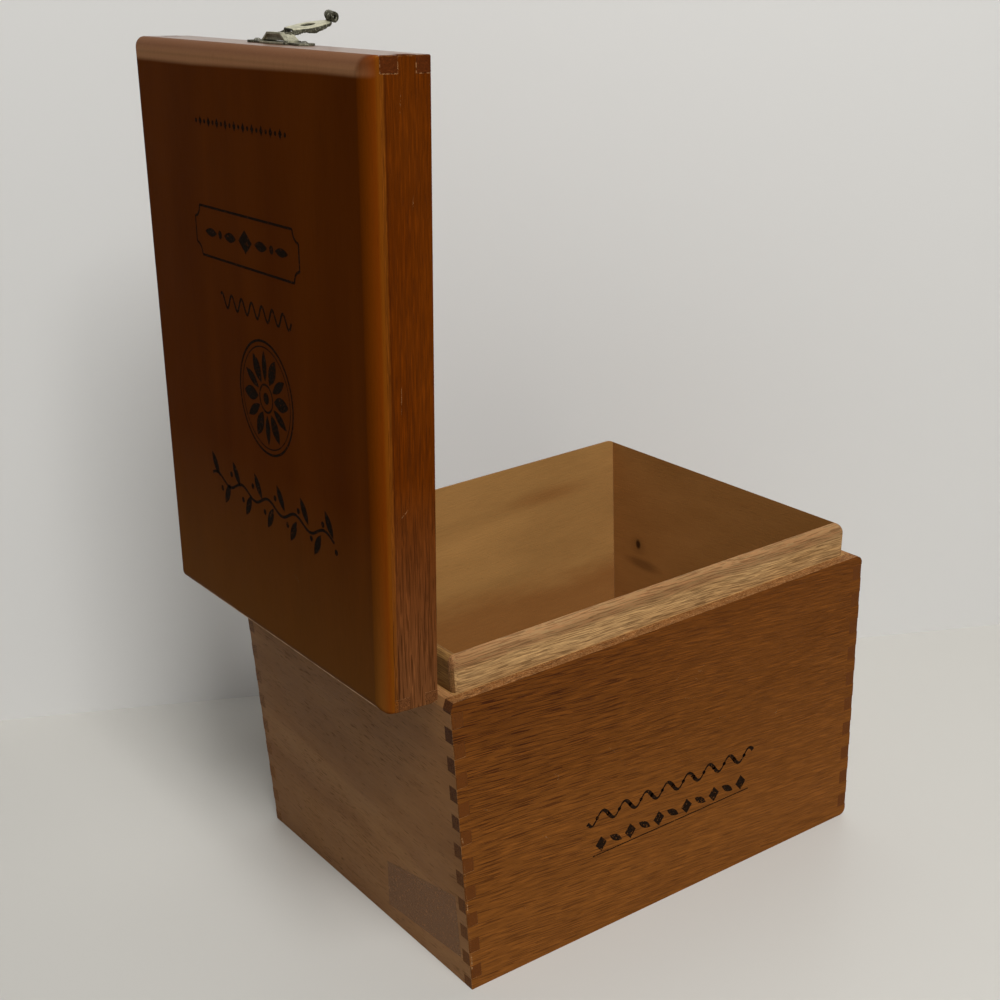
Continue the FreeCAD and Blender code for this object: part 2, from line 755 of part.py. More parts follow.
def claspLever():
    """A sheet tongue with turned-down sides, an eye in each for the pin, and a rolled curl.

    It is drawn latched, about its pin: it hangs towards -Z and its outer face looks
    towards -Y. Then it is lifted to its rest angle and swung open with the lid.
    """
    sheet = D["lever_sheet"]
    outside = D["lever_web_height"] + sheet
    root, wide, neck = D["lever_root_width"] / 2, D["lever_width"] / 2, D["lever_neck_width"] / 2
    slotStart, length = D["lever_slot_start"], D["lever_length"]
    webStart, cheekStart = D["lever_web_start"], D["lever_cheek_start"]
    shoulder = slotEnd + sheet
    flare = slotStart - (wide - root) * 2
    taper = shoulder + (wide - neck)
    downwards = (X_AXIS, -90)
    outline = [(-root, webStart), (root, webStart), (root, flare), (wide, slotStart), (wide, shoulder),
               (neck, taper), (neck, length), (-neck, length), (-neck, taper), (-wide, shoulder),
               (-wide, slotStart), (-root, flare)]
    pieces = [prism("lever_web", outline, sheet, ZERO, -outside, ZERO, downwards)]
    for number, sign in enumerate((-1, 1), start=1):
        eyeSide = root - sheet if sign > 0 else -root
        wideSide = wide - sheet if sign > 0 else -wide
        pieces.append(rod("lever_eye_%d" % number, eyeSide, ZERO, ZERO, D["clasp_pin_radius"] + sheet,
                          sheet, ALONG_X))
        pieces.append(box("lever_cheek_%d" % number, eyeSide, -outside, -flare,
                          sheet, D["lever_side_depth"], flare - cheekStart))
        pieces.append(box("lever_side_%d" % number, wideSide, -outside, -shoulder,
                          sheet, D["lever_side_depth"], shoulder - slotStart))
        ramp = [(root - sheet, flare - sheet), (root, flare - sheet), (root, flare), (wide, slotStart),
                (wide, slotStart + sheet), (wide - sheet, slotStart + sheet), (wide - sheet, slotStart),
                (root - sheet, flare)]
        mirrored = [(-x, u) for x, u in reversed(ramp)]
        pieces.append(prism("lever_ramp_%d" % number, ramp if sign > 0 else mirrored, D["lever_side_depth"],
                            ZERO, -outside, ZERO, downwards))
    pieces.append(rod("lever_curl", -(D["curl_length"] / 2), -D["curl_rise"], -length, D["curl_radius"],
                      D["curl_length"], ALONG_X))
    slot = box("lever_slot", -(D["lever_slot_width"] / 2), -(outside + over), -slotEnd,
               D["lever_slot_width"], sheet + over * 2, D["lever_slot_length"])
    curlBore = rod("lever_curl_bore", -(D["curl_length"] / 2) - over, -D["curl_rise"], -length,
                   D["curl_bore_radius"], D["curl_length"] + over * 2, ALONG_X)
    boreRadius = D["clasp_pin_radius"] + D["running_clearance"]
    pinBore = rod("lever_pin_bore", -(root + over), ZERO, ZERO, boreRadius,
                  D["lever_root_width"] + over * 2, ALONG_X)
    lever = cutFrom("clasp_lever", fused("lever_blank", pieces),
                    fused("lever_cuts", [slot, curlBore, pinBore]))
    openWithLid(lever, ZERO, claspAxisY, claspAxisZ, (X_AXIS, -D["lever_rest_angle"]))
    return lever


def claspPlateNails():
    front = -halfDepth - D["plate_thickness"]
    nails = group("clasp_plate_nails", [nail("clasp_plate_nail_%d" % number, x, front, plateZ, TOWARDS_FRONT)
                                        for number, x in enumerate(plateNailX, start=1)])
    openWithLid(nails)
    return nails


def catchPlate():
    """The plate on the box: a flat strip with an upright hook that the lever's slot drops over."""
    front = -halfDepth
    strip = box("catch_strip", -(D["catch_length"] / 2), front - D["catch_thickness"],
                catchTop - D["catch_height"], D["catch_length"], D["catch_thickness"], D["catch_height"])
    hook = box("catch_hook", -(D["hook_width"] / 2), front - D["hook_projection"], hookBottom,
               D["hook_width"], D["hook_projection"], D["hook_thickness"])
    nose = box("catch_nose", -(D["hook_width"] / 2), front - D["hook_projection"],
               hookBottom - D["hook_nose"], D["hook_width"], D["hook_nose"], D["hook_nose"])
    holes = [rod("catch_nail_hole_%d" % number, x, front + over, catchZ,
                 nailHole, D["catch_thickness"] + over * 2, TOWARDS_FRONT)
             for number, x in enumerate(catchNailX, start=1)]
    return cutFrom("catch_plate", fused("catch_blank", [strip, hook, nose]), fused("catch_cuts", holes))


def catchPlateNails():
    front = -halfDepth - D["catch_thickness"]
    return group("catch_plate_nails", [nail("catch_plate_nail_%d" % number, x, front, catchZ, TOWARDS_FRONT)
                                       for number, x in enumerate(catchNailX, start=1)])


# ---------------------------------------------------------------- assembly

pieces = [
    frontPanel(),
    backPanel(),
    endPanel("left_end_panel", False),
    endPanel("right_end_panel", True),
    bottomPanel(),
    frontLiner(),
    backLiner(),
    sideLiner("left_liner", False),
    sideLiner("right_liner", True),
    lidTopPanel(),
    lidCrossRail("lid_front_rail", False),
    lidCrossRail("lid_back_rail", True),
    lidSideRail("lid_left_rail", True),
    lidSideRail("lid_right_rail", False),
    bodyHingeNails(),
    lidHingeNails(),
    claspPlate(),
    claspPin(),
    claspLever(),
    claspPlateNails(),
    catchPlate(),
    catchPlateNails(),
]
for side, centre in zip(("left", "right"), hingeCentres):
    pieces.append(bodyLeaf(side + "_hinge_body_leaf", centre))
    pieces.append(lidLeaf(side + "_hinge_lid_leaf", centre))
    pieces.append(hingePin(side + "_hinge_pin", centre))
doc.recompute()

for item in doc.Objects:
    if "Invalid" in item.State or "Error" in item.State:
        raise RuntimeError(item.Label + ": " + ", ".join(item.State))
for piece in pieces:
    if piece.Shape.isNull() or not piece.Shape.isValid() or piece.Shape.Volume <= 0:
        raise RuntimeError(piece.Label + ": no valid solid")

os.makedirs("parts", exist_ok=True)
for piece in pieces:
    piece.Shape.exportStep("parts/" + piece.Label + ".step")
    bounds = piece.Shape.BoundBox
    print("%-24s solids %d  volume %9.1f mm3  x %.1f..%.1f  y %.1f..%.1f  z %.1f..%.1f" % (
        piece.Label, len(piece.Shape.Solids), piece.Shape.Volume, bounds.XMin, bounds.XMax,
        bounds.YMin, bounds.YMax, bounds.ZMin, bounds.ZMax))
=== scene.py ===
import json
import math

import bmesh
import bpy
import numpy as np
from mathutils import Matrix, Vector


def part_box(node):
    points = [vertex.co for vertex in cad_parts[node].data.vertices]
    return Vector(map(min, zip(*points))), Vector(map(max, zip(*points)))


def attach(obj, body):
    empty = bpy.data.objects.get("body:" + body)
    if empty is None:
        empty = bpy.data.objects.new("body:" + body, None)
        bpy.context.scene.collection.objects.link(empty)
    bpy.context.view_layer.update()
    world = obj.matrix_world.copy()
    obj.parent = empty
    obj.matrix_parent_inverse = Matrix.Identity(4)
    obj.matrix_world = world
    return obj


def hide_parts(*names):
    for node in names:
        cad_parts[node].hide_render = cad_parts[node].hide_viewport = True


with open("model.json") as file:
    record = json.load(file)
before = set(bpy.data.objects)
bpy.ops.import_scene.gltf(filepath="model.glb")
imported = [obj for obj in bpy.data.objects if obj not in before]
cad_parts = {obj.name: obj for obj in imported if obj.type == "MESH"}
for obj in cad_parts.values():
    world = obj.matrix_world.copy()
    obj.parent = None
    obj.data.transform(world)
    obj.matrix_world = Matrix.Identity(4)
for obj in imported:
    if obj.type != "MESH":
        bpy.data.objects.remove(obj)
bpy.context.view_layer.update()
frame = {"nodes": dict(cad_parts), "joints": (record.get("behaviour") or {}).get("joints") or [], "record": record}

print("frame loaded:", len(frame["nodes"]), "nodes")

mm = 0.001
nodeBox = {name: np.array(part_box(name)) for name in frame["nodes"]}
lidJoint = next(joint for joint in frame["joints"] if joint["child"] == "lid")
lidSwing = math.radians(max(lidJoint["range_deg"]))
hingeAxis = np.array(lidJoint["pos_m"])
halfWidth = nodeBox["front_panel"][1][0]
halfDepth = -nodeBox["front_panel"][0][1]
rimHeight = nodeBox["front_panel"][1][2]


def turnAboutX(points, angle, pivot):
    # the points turned by the angle about a line along X through the pivot
    cosine, sine = math.cos(angle), math.sin(angle)
    y = points[:, 1] - pivot[1]
    z = points[:, 2] - pivot[2]
    return np.column_stack([points[:, 0], pivot[1] + y * cosine - z * sine, pivot[2] + y * sine + z * cosine])


def closedPlace(points, body):
    # where the points lie when the lid is shut: the lid turns back down about its hinge
    return points if body == "carcass" else turnAboutX(points, lidSwing, hingeAxis)


def openPlace(points, body):
    return points if body == "carcass" else turnAboutX(points, -lidSwing, hingeAxis)


def addObject(name, data, side, up, forward, place):
    # a camera or a lamp that looks along forward
    matrix = np.eye(4)
    matrix[:3, 0], matrix[:3, 1], matrix[:3, 2], matrix[:3, 3] = side, up, -forward, place
    thing = bpy.data.objects.new(name, data)
    thing.matrix_world = Matrix([list(row) for row in matrix])
    bpy.context.scene.collection.objects.link(thing)
    return thing


# camera

view = {
    "position": (-0.44201, 0.31567, 0.33868),
    "heading": 123.131,  # degrees from +Y towards +X
    "pitch": 29.473,  # degrees below the horizon
    "roll": -3.483,
    "focalPixels": 1512.6,
    "centre": (498.5, 752.8),  # where the lens axis meets the frame, in pixels
    "frameSize": 1000.0,
    "sensor": 36.0,
    "clipStart": 0.01,
}


def makeCamera():
    heading, pitch, roll = (math.radians(view[key]) for key in ("heading", "pitch", "roll"))
    ahead = np.array([math.sin(heading), math.cos(heading), 0.0])
    right = np.array([ahead[1], -ahead[0], 0.0])
    forward = math.cos(pitch) * ahead - math.sin(pitch) * np.array([0.0, 0.0, 1.0])
    up = np.cross(right, forward)
    sideways = math.cos(roll) * right + math.sin(roll) * up
    upwards = -math.sin(roll) * right + math.cos(roll) * up
    data = bpy.data.cameras.new("camera")
    data.sensor_width = view["sensor"]
    data.lens = view["focalPixels"] * view["sensor"] / view["frameSize"]
    data.shift_x = 0.5 - view["centre"][0] / view["frameSize"]
    data.shift_y = view["centre"][1] / view["frameSize"] - 0.5
    data.clip_start = view["clipStart"]
    bpy.context.scene.camera = addObject("camera", data, sideways, upwards, forward, view["position"])


makeCamera()
print("camera placed")

# shader nodes


def link(source, target):
    target.id_data.links.new(source, target)


def owner(*values):
    # the node tree of the first socket among the values
    return next(value.id_data for value in values if isinstance(value, bpy.types.NodeSocket))


def addNode(tree, kind, properties=None, **inputs):
    # a shader node; an input is a socket to link or a value to set, and its name has _ for a space
    node = tree.nodes.new("ShaderNode" + kind)
    for key, value in (properties or {}).items():
        setattr(node, key, value)
    for key, value in inputs.items():
        numbered = key[0] == "i" and key[1:].isdigit()
        socket = node.inputs[int(key[1:]) if numbered else key.replace("_", " ")]
        if isinstance(value, bpy.types.NodeSocket):
            link(value, socket)
        elif socket.type == "RGBA":
            socket.default_value = (*value[:3], 1.0)
        else:
            socket.default_value = value
    return node


def mathNode(operation, first, second):
    return addNode(owner(first, second), "Math", {"operation": operation}, i0=first, i1=second).outputs[0]


def plus(first, second):
    return mathNode("ADD", first, second)


def minus(first, second):
    return mathNode("SUBTRACT", first, second)


def times(first, *others):
    for other in others:
        first = mathNode("MULTIPLY", first, other)
    return first


def larger(first, second):
    return mathNode("MAXIMUM", first, second)


def vectorNode(operation, first, second):
    return addNode(first.id_data, "VectorMath", {"operation": operation}, i0=first, i1=second).outputs[0]


def scaled(colour, factor):
    return addNode(colour.id_data, "VectorMath", {"operation": "SCALE"}, i0=colour, Scale=factor).outputs[0]


def coordinates(vector):
    return addNode(vector.id_data, "SeparateXYZ", None, Vector=vector).outputs


def mixColours(factor, first, second):
    return addNode(factor.id_data, "Mix", {"data_type": "RGBA"}, i0=factor, i6=first, i7=second).outputs[2]


def mixShaders(factor, first, second):
    return addNode(factor.id_data, "MixShader", None, Fac=factor, i1=first.outputs[0], i2=second.outputs[0])


def remap(value, low, high, toLow=0.0, toHigh=1.0, smooth=False):
    # the value stretched so that low becomes toLow and high becomes toHigh, held beyond them
    properties = {"interpolation_type": "SMOOTHSTEP" if smooth else "LINEAR"}
    return addNode(value.id_data, "MapRange", properties, Value=value, From_Min=low, From_Max=high,
                   To_Min=toLow, To_Max=toHigh).outputs["Result"]


def band(value, low, high, fade):
    # 1 where the value lies between low and high, with soft ends
    return times(remap(value, low - fade, low + fade), remap(value, high - fade, high + fade, 1.0, 0.0))


def spot(place, centre, radii, edge, share=1.0):
    # the share at the centre of an ellipsoid in the closed box's frame, fading to 0 at its skin
    away = vectorNode("DIVIDE", vectorNode("SUBTRACT", place, centre), radii)
    distance = addNode(place.id_data, "VectorMath", {"operation": "LENGTH"}, i0=away).outputs["Value"]
    return remap(distance, edge, 1.0, share, 0.0, True)


def noise(vector, scale, detail=2.0, roughness=0.5, distortion=0.0):
    scale = scale if isinstance(scale, tuple) else (scale,) * 3
    return addNode(vector.id_data, "TexNoise", None, Vector=vectorNode("MULTIPLY", vector, scale), Scale=1.0,
                   Detail=detail, Roughness=roughness, Distortion=distortion).outputs[0]


def attribute(tree, name, kind="Vector"):
    return addNode(tree, "Attribute", {"attribute_name": name, "attribute_type": "GEOMETRY"}).outputs[kind]


def newMaterial(name, **settings):
    # a material with its Principled shader already wired to the output
    material = bpy.data.materials.new(name)
    material.use_nodes = True
    tree = material.node_tree
    tree.nodes.clear()
    output = tree.nodes.new("ShaderNodeOutputMaterial")
    shader = addNode(tree, "BsdfPrincipled", None, **settings)
    link(shader.outputs[0], output.inputs["Surface"])
    return material, tree, shader


def shade(red, green, blue):
    # display colour from 0 to 255 as linear light
    values = np.array([red, green, blue]) / 255.0
    return tuple(np.where(values <= 0.04045, values / 12.92, ((values + 0.055) / 1.055) ** 2.4))


# lamps, world, wall and floor

bpy.context.scene.view_settings.view_transform = "Standard"

studio = {
    "keyFrom": (-0.70, 0.15, 0.66),  # the soft main light comes from here, far away
    "keySpread": 24.0,
    "keyStrength": 1.2,
    "keyColour": (1.0, 0.985, 0.96),
    "nearPlace": (-0.6, 0.2, 1.0),  # a smaller lamp close by, which lights the near parts more
    "nearTarget": (0.0, 0.0, 0.08),
    "nearSize": 0.4,
    "nearPower": 8.8,
    "roomColour": (1.0, 0.99, 0.97),
    "room": 0.04,  # the room's light on the box
    "mirrored": (0.15, 0.9, 0.03, 0.9),  # the room as the box mirrors it: from and to rise, light at each
    "backdrop": (0.60, 0.595, 0.575),
    "floorColour": (0.57, 0.557, 0.52),
    "floorRoughness": 0.4,
    "wallColour": (0.64, 0.636, 0.62),
    "wallRoughness": 0.6,
    "reach": 3.0,  # half the width of the floor, and the wall's length to the right
    "wallLeft": 0.30,  # the wall's length to the left, short, so that the lid does not mirror it
    "wallHeading": 118.64,  # the way the wall's front looks away from, from +Y towards +X
    "wallDistance": 0.1395,  # from the middle of the box
}


def addLamp(name, data, power, place, target):
    data.energy = power
    forward = np.array(target) - np.array(place)
    forward = forward / np.linalg.norm(forward)
    side = np.cross(forward, [0.0, 0.0, 1.0])
    side = side / np.linalg.norm(side)
    addObject(name, data, side, np.cross(side, forward), forward, place)


def lightStudio():
    key = bpy.data.lights.new("keyLamp", "SUN")
    key.angle = math.radians(studio["keySpread"])
    key.color = studio["keyColour"]
    addLamp("keyLamp", key, studio["keyStrength"], studio["keyFrom"], (0.0, 0.0, 0.0))
    near = bpy.data.lights.new("nearLamp", "AREA")
    near.size = studio["nearSize"]
    addLamp("nearLamp", near, studio["nearPower"], studio["nearPlace"], studio["nearTarget"])
    world = bpy.data.worlds.new("studioWorld")
    bpy.context.scene.world = world
    world.use_nodes = True
    tree = world.node_tree
    tree.nodes.clear()
    # mirrored light grows from the horizon upwards; the camera sees the plain backdrop
    rise = coordinates(addNode(tree, "TexCoord").outputs["Generated"])["Z"]
    path = addNode(tree, "LightPath").outputs
    gloss = remap(rise, *studio["mirrored"])
    room, mirrored = (addNode(tree, "Background", None, Color=studio["roomColour"], Strength=strength)
                      for strength in (studio["room"], gloss))
    behind = addNode(tree, "Background", None, Color=studio["backdrop"])
    mixed = mixShaders(path["Is Glossy Ray"], room, mirrored)
    seen = larger(path["Is Camera Ray"], path["Is Transmission Ray"])
    final = mixShaders(seen, mixed, behind)
    link(final.outputs[0], tree.nodes.new("ShaderNodeOutputWorld").inputs["Surface"])


def stageMaterial(name, colour, roughness):
    # pale and plain from its front, and clear from behind, so that it never hides the box
    material, tree, shader = newMaterial(name, Base_Color=colour, Roughness=roughness)
    backfacing = addNode(tree, "NewGeometry").outputs["Backfacing"]
    mix = mixShaders(backfacing, shader, addNode(tree, "BsdfTransparent"))
    output = next(node for node in tree.nodes if node.bl_idname == "ShaderNodeOutputMaterial")
    link(mix.outputs[0], output.inputs["Surface"])
    return material


def makeStage():
    heading = math.radians(studio["wallHeading"])
    away = np.array([math.sin(heading), math.cos(heading), 0.0])
    along = np.array([away[1], -away[0], 0.0])
    foot = away * studio["wallDistance"]
    reach = studio["reach"]
    up = np.array([0.0, 0.0, reach])
    left, right = foot - along * studio["wallLeft"], foot + along * reach
    corners = {
        "backdropWall": [left, right, right + up, left + up],
        "floor": [(x * reach, y * reach, 0.0) for x, y in ((-1, -1), (1, -1), (1, 1), (-1, 1))],
    }
    for name, key in (("backdropWall", "wall"), ("floor", "floor")):
        mesh = bpy.data.meshes.new(name)
        mesh.from_pydata([tuple(point) for point in corners[name]], [], [(0, 1, 2, 3)])
        paint = stageMaterial(name + "Paint", studio[key + "Colour"], studio[key + "Roughness"])
        mesh.materials.append(paint)
        piece = bpy.data.objects.new(name, mesh)
        bpy.context.scene.collection.objects.link(piece)


lightStudio()
print("lamps and world set")
makeStage()
print("stage set")

# wood figure shared by every board: the grain attribute runs (along, across, through) the board in metres

figure = {
    # noises: scale along and across the grain, detail, roughness, distortion
    "clouds": ((10.0, 48.0, 48.0), 3.0, 0.55, 0.4),
    "wander": ((22.0, 55.0, 55.0), 1.0),
    "wanderReach": 2.2 * mm,
    "fibre": ((110.0, 2300.0, 2300.0), 2.0, 0.7),
    "fibreHeight": 0.4,
    "patch": ((14.0, 60.0, 60.0), 2.0),
    "patchRange": (0.35, 0.65),
    "lines": ((80.0, 2700.0, 2700.0), 0.0),
    "pores": ((190.0, 2300.0, 2300.0), 1.0),
    # where a noise turns into a mark: the level, how far the share and the patches lower it, and the fade
    "lineLevel": (0.76, 0.16, 0.025, 0.03),
    "poreLevel": (0.78, 0.18, 0.06, 0.06),
}


def groupSocket(tree, name, kind, way, value=None):
    socket = tree.interface.new_socket(name=name, in_out=way, socket_type="NodeSocket" + kind)
    if value is not None:
        socket.default_value = value


def buildWoodFigure():
    tree = bpy.data.node_groups.new("woodFigure", "ShaderNodeTree")
    groupSocket(tree, "Grain", "Vector", "INPUT")
    for name in ("Line Share", "Pore Share"):
        groupSocket(tree, name, "Float", "INPUT", 0.5)
    start = tree.nodes.new("NodeGroupInput")
    grain = start.outputs["Grain"]
    clouds = noise(grain, *figure["clouds"])
    # the lines wander a little across the grain
    wander = times(minus(noise(grain, *figure["wander"]), 0.5), figure["wanderReach"])
    grain = vectorNode("ADD", grain, addNode(tree, "CombineXYZ", None, Y=wander).outputs[0])
    fibre = noise(grain, *figure["fibre"])
    patch = remap(noise(grain, *figure["patch"]), *figure["patchRange"])

    def marks(pattern, share, settings):
        level, byShare, byPatch, fade = settings
        edge = minus(level, times(start.outputs[share], byShare))
        edge = minus(edge, times(patch, byPatch))
        return remap(minus(noise(grain, *figure[pattern]), edge), 0.0, fade)

    # long thin dark vessel lines, and short pores that lie thick in patches
    lines = marks("lines", "Line Share", figure["lineLevel"])
    pores = marks("pores", "Pore Share", figure["poreLevel"])
    height = minus(times(fibre, figure["fibreHeight"]), larger(lines, pores))
    results = {"Clouds": clouds, "Fibre": fibre, "Lines": lines, "Pores": pores, "Height": height}
    for name in results:
        groupSocket(tree, name, "Float", "OUTPUT")
    end = tree.nodes.new("NodeGroupOutput")
    for name, value in results.items():
        link(value, end.inputs[name])
    return tree


woodFigure = buildWoodFigure()

woodDetail = {
    "grit": (2300.0, 1.0, 0.6),  # the speckle where stain meets raw wood
    "gritShare": 0.75,
    "wearNoise": (170.0, 3.0, 0.6),
    "fleckNoise": ((110.0, 2300.0, 2300.0), 1.0),
    "fleckRange": (0.56, 0.66),
    "smearNoise": (40.0, 3.0),
    "smear": 0.05,
    "poreRoughness": 0.15,
    "bumpDistance": 0.12 * mm,
    "coatRoughness": 0.3,
    "coatIor": 1.7,
    "midRange": (0.3, 0.7),  # the range that a noise mostly keeps to
}


def makeWood(name, finish, accents):
    # stained where the stain attribute is 1, raw where it is 0, speckled between; darker on end grain
    material, tree, shader = newMaterial(name, Specular_IOR_Level=finish["specular"])
    grain = vectorNode("MULTIPLY", attribute(tree, "grain"), finish["stretch"])
    place = attribute(tree, "place")
    wood = addNode(tree, "Group", {"node_tree": woodFigure}, Grain=grain, Line_Share=finish["lineShare"],
                   Pore_Share=finish["poreShare"]).outputs
    middle = woodDetail["midRange"]
    tone = remap(wood["Clouds"], *middle)
    stained = mixColours(tone, finish["dark"], finish["light"])
    raw = mixColours(tone, finish["rawDark"], finish["rawLight"])
    endGrain = attribute(tree, "endGrain", "Fac")
    endShare = times(endGrain, finish["endStrength"])
    stained = mixColours(endShare, stained, finish["endColour"])
    raw = mixColours(endShare, raw, finish["rawEnd"])
    for accent in accents:
        stained, raw = accent(place, coordinates(place), wood, stained, raw)
    grit = times(minus(noise(place, *woodDetail["grit"]), 0.5), woodDetail["gritShare"])
    wear = times(attribute(tree, "wear", "Fac"), noise(place, *woodDetail["wearNoise"]), finish["wear"])
    cover = minus(plus(attribute(tree, "stain", "Fac"), grit), wear)
    cover = remap(cover, *middle)
    colour = mixColours(cover, raw, stained)
    strength = remap(cover, 0.0, 1.0, finish["rawFibre"], finish["fibre"])
    streak = plus(1.0, times(remap(wood["Fibre"], *middle, -1.0, 1.0), strength))
    fleck = noise(grain, *woodDetail["fleckNoise"])
    fleck = remap(fleck, *woodDetail["fleckRange"], 1.0, 1.0 + finish["flecks"])
    colour = scaled(scaled(colour, streak), fleck)
    lines = times(wood["Lines"], remap(cover, 0.0, 1.0, finish["rawLines"], finish["lines"]))
    colour = mixColours(lines, colour, finish["poreColour"])
    colour = mixColours(times(wood["Pores"], finish["pores"]), colour, finish["poreColour"])
    link(colour, shader.inputs["Base Color"])
    smear = remap(noise(place, *woodDetail["smearNoise"]), *middle, -woodDetail["smear"], woodDetail["smear"])
    rough = plus(remap(cover, 0.0, 1.0, finish["rawRoughness"], finish["roughness"]), smear)
    rough = plus(rough, times(wood["Pores"], woodDetail["poreRoughness"]))
    link(rough, shader.inputs["Roughness"])
    bump = addNode(tree, "Bump", None, Strength=finish["bump"], Distance=woodDetail["bumpDistance"],
                   Height=wood["Height"])
    link(bump.outputs[0], shader.inputs["Normal"])
    if finish["coat"]:
        # varnish on the long grain only
        coat = minus(finish["coat"], times(endGrain, finish["coat"]))
        link(coat, shader.inputs["Coat Weight"])
        shader.inputs["Coat Roughness"].default_value = woodDetail["coatRoughness"]
        shader.inputs["Coat IOR"].default_value = woodDetail["coatIor"]
    return material


# the box's ends: orange-brown stain over open-pored wood

endFinish = {
    "dark": shade(95, 52, 13), "light": shade(107, 61, 19),
    "rawDark": shade(150, 108, 66), "rawLight": shade(172, 128, 84),
    "endColour": shade(92, 46, 12), "endStrength": 0.3, "rawEnd": shade(106, 71, 36),
    "poreColour": shade(52, 24, 8), "lineShare": 0.92, "lines": 0.28, "rawLines": 0.5,
    "poreShare": 0.6, "pores": 0.25, "fibre": 0.2, "rawFibre": 0.3, "flecks": 0.18,
    "roughness": 0.5, "rawRoughness": 0.7, "specular": 0.04, "coat": 0.0, "bump": 0.5,
    "wear": 1.0, "stretch": (1.0, 1.0, 1.0),
}
# front and back: the same stain, smoother, painted lighter and cooler as painted light and painted reflection on
# the shaded back
broadPaintedLightFinish = dict(
    endFinish, dark=shade(127, 86, 49), light=shade(151, 108, 66), endColour=shade(93, 50, 14),
    endStrength=1.0, lines=0.1, lineShare=0.6, pores=0.45, fibre=0.07, specular=0.06, flecks=0.03)
linerFinish = dict(
    endFinish, dark=shade(146, 107, 60), light=shade(164, 122, 70), rawDark=shade(153, 115, 71),
    rawLight=shade(187, 151, 103), endColour=shade(150, 104, 60), endStrength=0.85,
    poreColour=shade(84, 52, 26), lines=0.03, lineShare=1.2, pores=0.08, poreShare=0.4, fibre=0.04,
    rawFibre=0.42, roughness=0.6, flecks=0.0, specular=0.08, bump=0.3, wear=0.0, stretch=(1.3, 0.95, 0.95))
railFinish = dict(
    endFinish, dark=shade(80, 33, 1), light=shade(93, 42, 3), endColour=shade(66, 26, 2), endStrength=0.6,
    lines=0.15, lineShare=1.0, pores=0.3, fibre=0.16, specular=0.01, flecks=0.2)
topFinish = dict(
    endFinish, dark=shade(76, 33, 1), light=shade(85, 39, 2), endColour=shade(80, 35, 2),
    poreColour=shade(40, 17, 1), lines=0.08, lineShare=0.3, pores=0.15, poreShare=0.25, fibre=0.05,
    roughness=0.42, specular=0.004, bump=0.15, flecks=0.0)

# accents: what sets one board apart. A range is (from, to, share at from, share at to) along one of the
# closed box's directions, a mark is (range, colour), a spot is (centre, radii, edge, share), and a noise
# is (scale, detail, roughness)

heart = {
    "wander": ((12.0, 22.0, 60.0), 3.0, 0.6),
    "wanderReach": 22.0 * mm,
    "height": (0.074, 0.091, 0.66, 0.0, True),
    "cloud": ((0.067, -0.050, 0.1115), (0.02, 0.030, 0.0055), 0.1, 0.45),
    "colour": shade(122, 74, 34),
}
knotMark = {
    "knot": ((0.0497, -0.0857, 0.0841), (0.0022, 0.01, 0.0030), 0.35, 0.9),
    "flame": ((0.047, -0.0857, 0.0755), (0.017, 0.01, 0.0040), 0.2, 0.5),
    "ring": ((0.0497, -0.0857, 0.0835), (0.0070, 0.01, 0.0065), 0.2, 0.25),
    "clouds": (0.42, 0.62),
    "dark": shade(38, 18, 8),
    "brown": shade(74, 42, 18),
    "corner": ((0.0667, 0.0670, 0.0, 0.6), shade(176, 134, 88)),
}
lipMark = {
    "rounded": ((rimHeight + 7.2 * mm, rimHeight + 8.8 * mm, 0.0, 0.8), shade(126, 86, 54)),
    "streaks": (0.40, 0.55, 0.35, 1.0),
}
endMark = {
    "paler": ((0.02, 0.10, 0.5, 0.0), shade(128, 78, 30)),
    "darker": ((0.075, 0.112, 0.0, 0.25), shade(84, 42, 10)),
    "lines": ((0.02, 0.09, 0.3, 0.8), shade(58, 24, 6)),
    "linesBack": (-0.04, 0.06),
}
lidMark = {
    "back": ((0.030, 0.092, 0.0, 0.55), shade(108, 70, 28)),
    "shift": (-0.05, 0.03, -0.0002, 0.0011),  # how far back the front's painted sheen reaches, along x
    "front": (-0.0874, -0.0892, 0.0, 0.85, True),
    "corner": (-0.0700, -0.0725, 1.0, 0.3),
    "paintedSheen": (-0.0888, -0.0915),
    "paintedSheenColours": (shade(160, 115, 80), shade(112, 78, 55)),
    "rubbedAndHighlitY": (0.0913, 0.0928, 0.0003),
    "rubbedAndHighlitX": (-0.0705, 0.06, 0.0015),
    "rubbedAndHighlitNoise": ((220.0, 60.0, 60.0), 3.0, 0.6),
    "rubbedAndHighlit": ((0.34, 0.56, 0.35, 0.95), shade(206, 168, 132)),
}
amberMark = {
    "asideY": (-0.0925, -0.0900),
    "asideX": (-0.0710, -0.0735),
    "glow": ((rimHeight + 16.4 * mm, rimHeight + 20.4 * mm, 0.8, 0.0, True), shade(100, 44, 4)),
    "thin": ((rimHeight + 16.3 * mm, rimHeight + 17.5 * mm, 0.85, 0.0, True), shade(106, 56, 9)),
}
railMark = {
    "ragged": (300.0, 2.0),
    "raggedReach": 0.5 * mm,
    "paler": ((0.02, 0.09, 0.0, 0.6), shade(110, 72, 42)),
    "darker": ((-0.09, -0.01, 0.3, 0.0), shade(60, 24, 2)),
    "amber": ((rimHeight + 14.6 * mm, rimHeight + 15.0 * mm, 0.0, 0.7), shade(108, 58, 12)),
    "lines": ((-0.04, 0.09, 0.0, 0.6), shade(52, 24, 6)),
    "seam": (rimHeight + 14.2 * mm, rimHeight + 14.6 * mm, 0.2 * mm),
    "seamShare": 0.45,
    "seamColour": shade(50, 20, 4),
}


def tint(colour, value, mark, *factors):
    # the colour turned towards the mark's, by the value's share in its range times the factors
    reach, tone = mark
    return mixColours(times(remap(value, *reach), *factors), colour, tone)


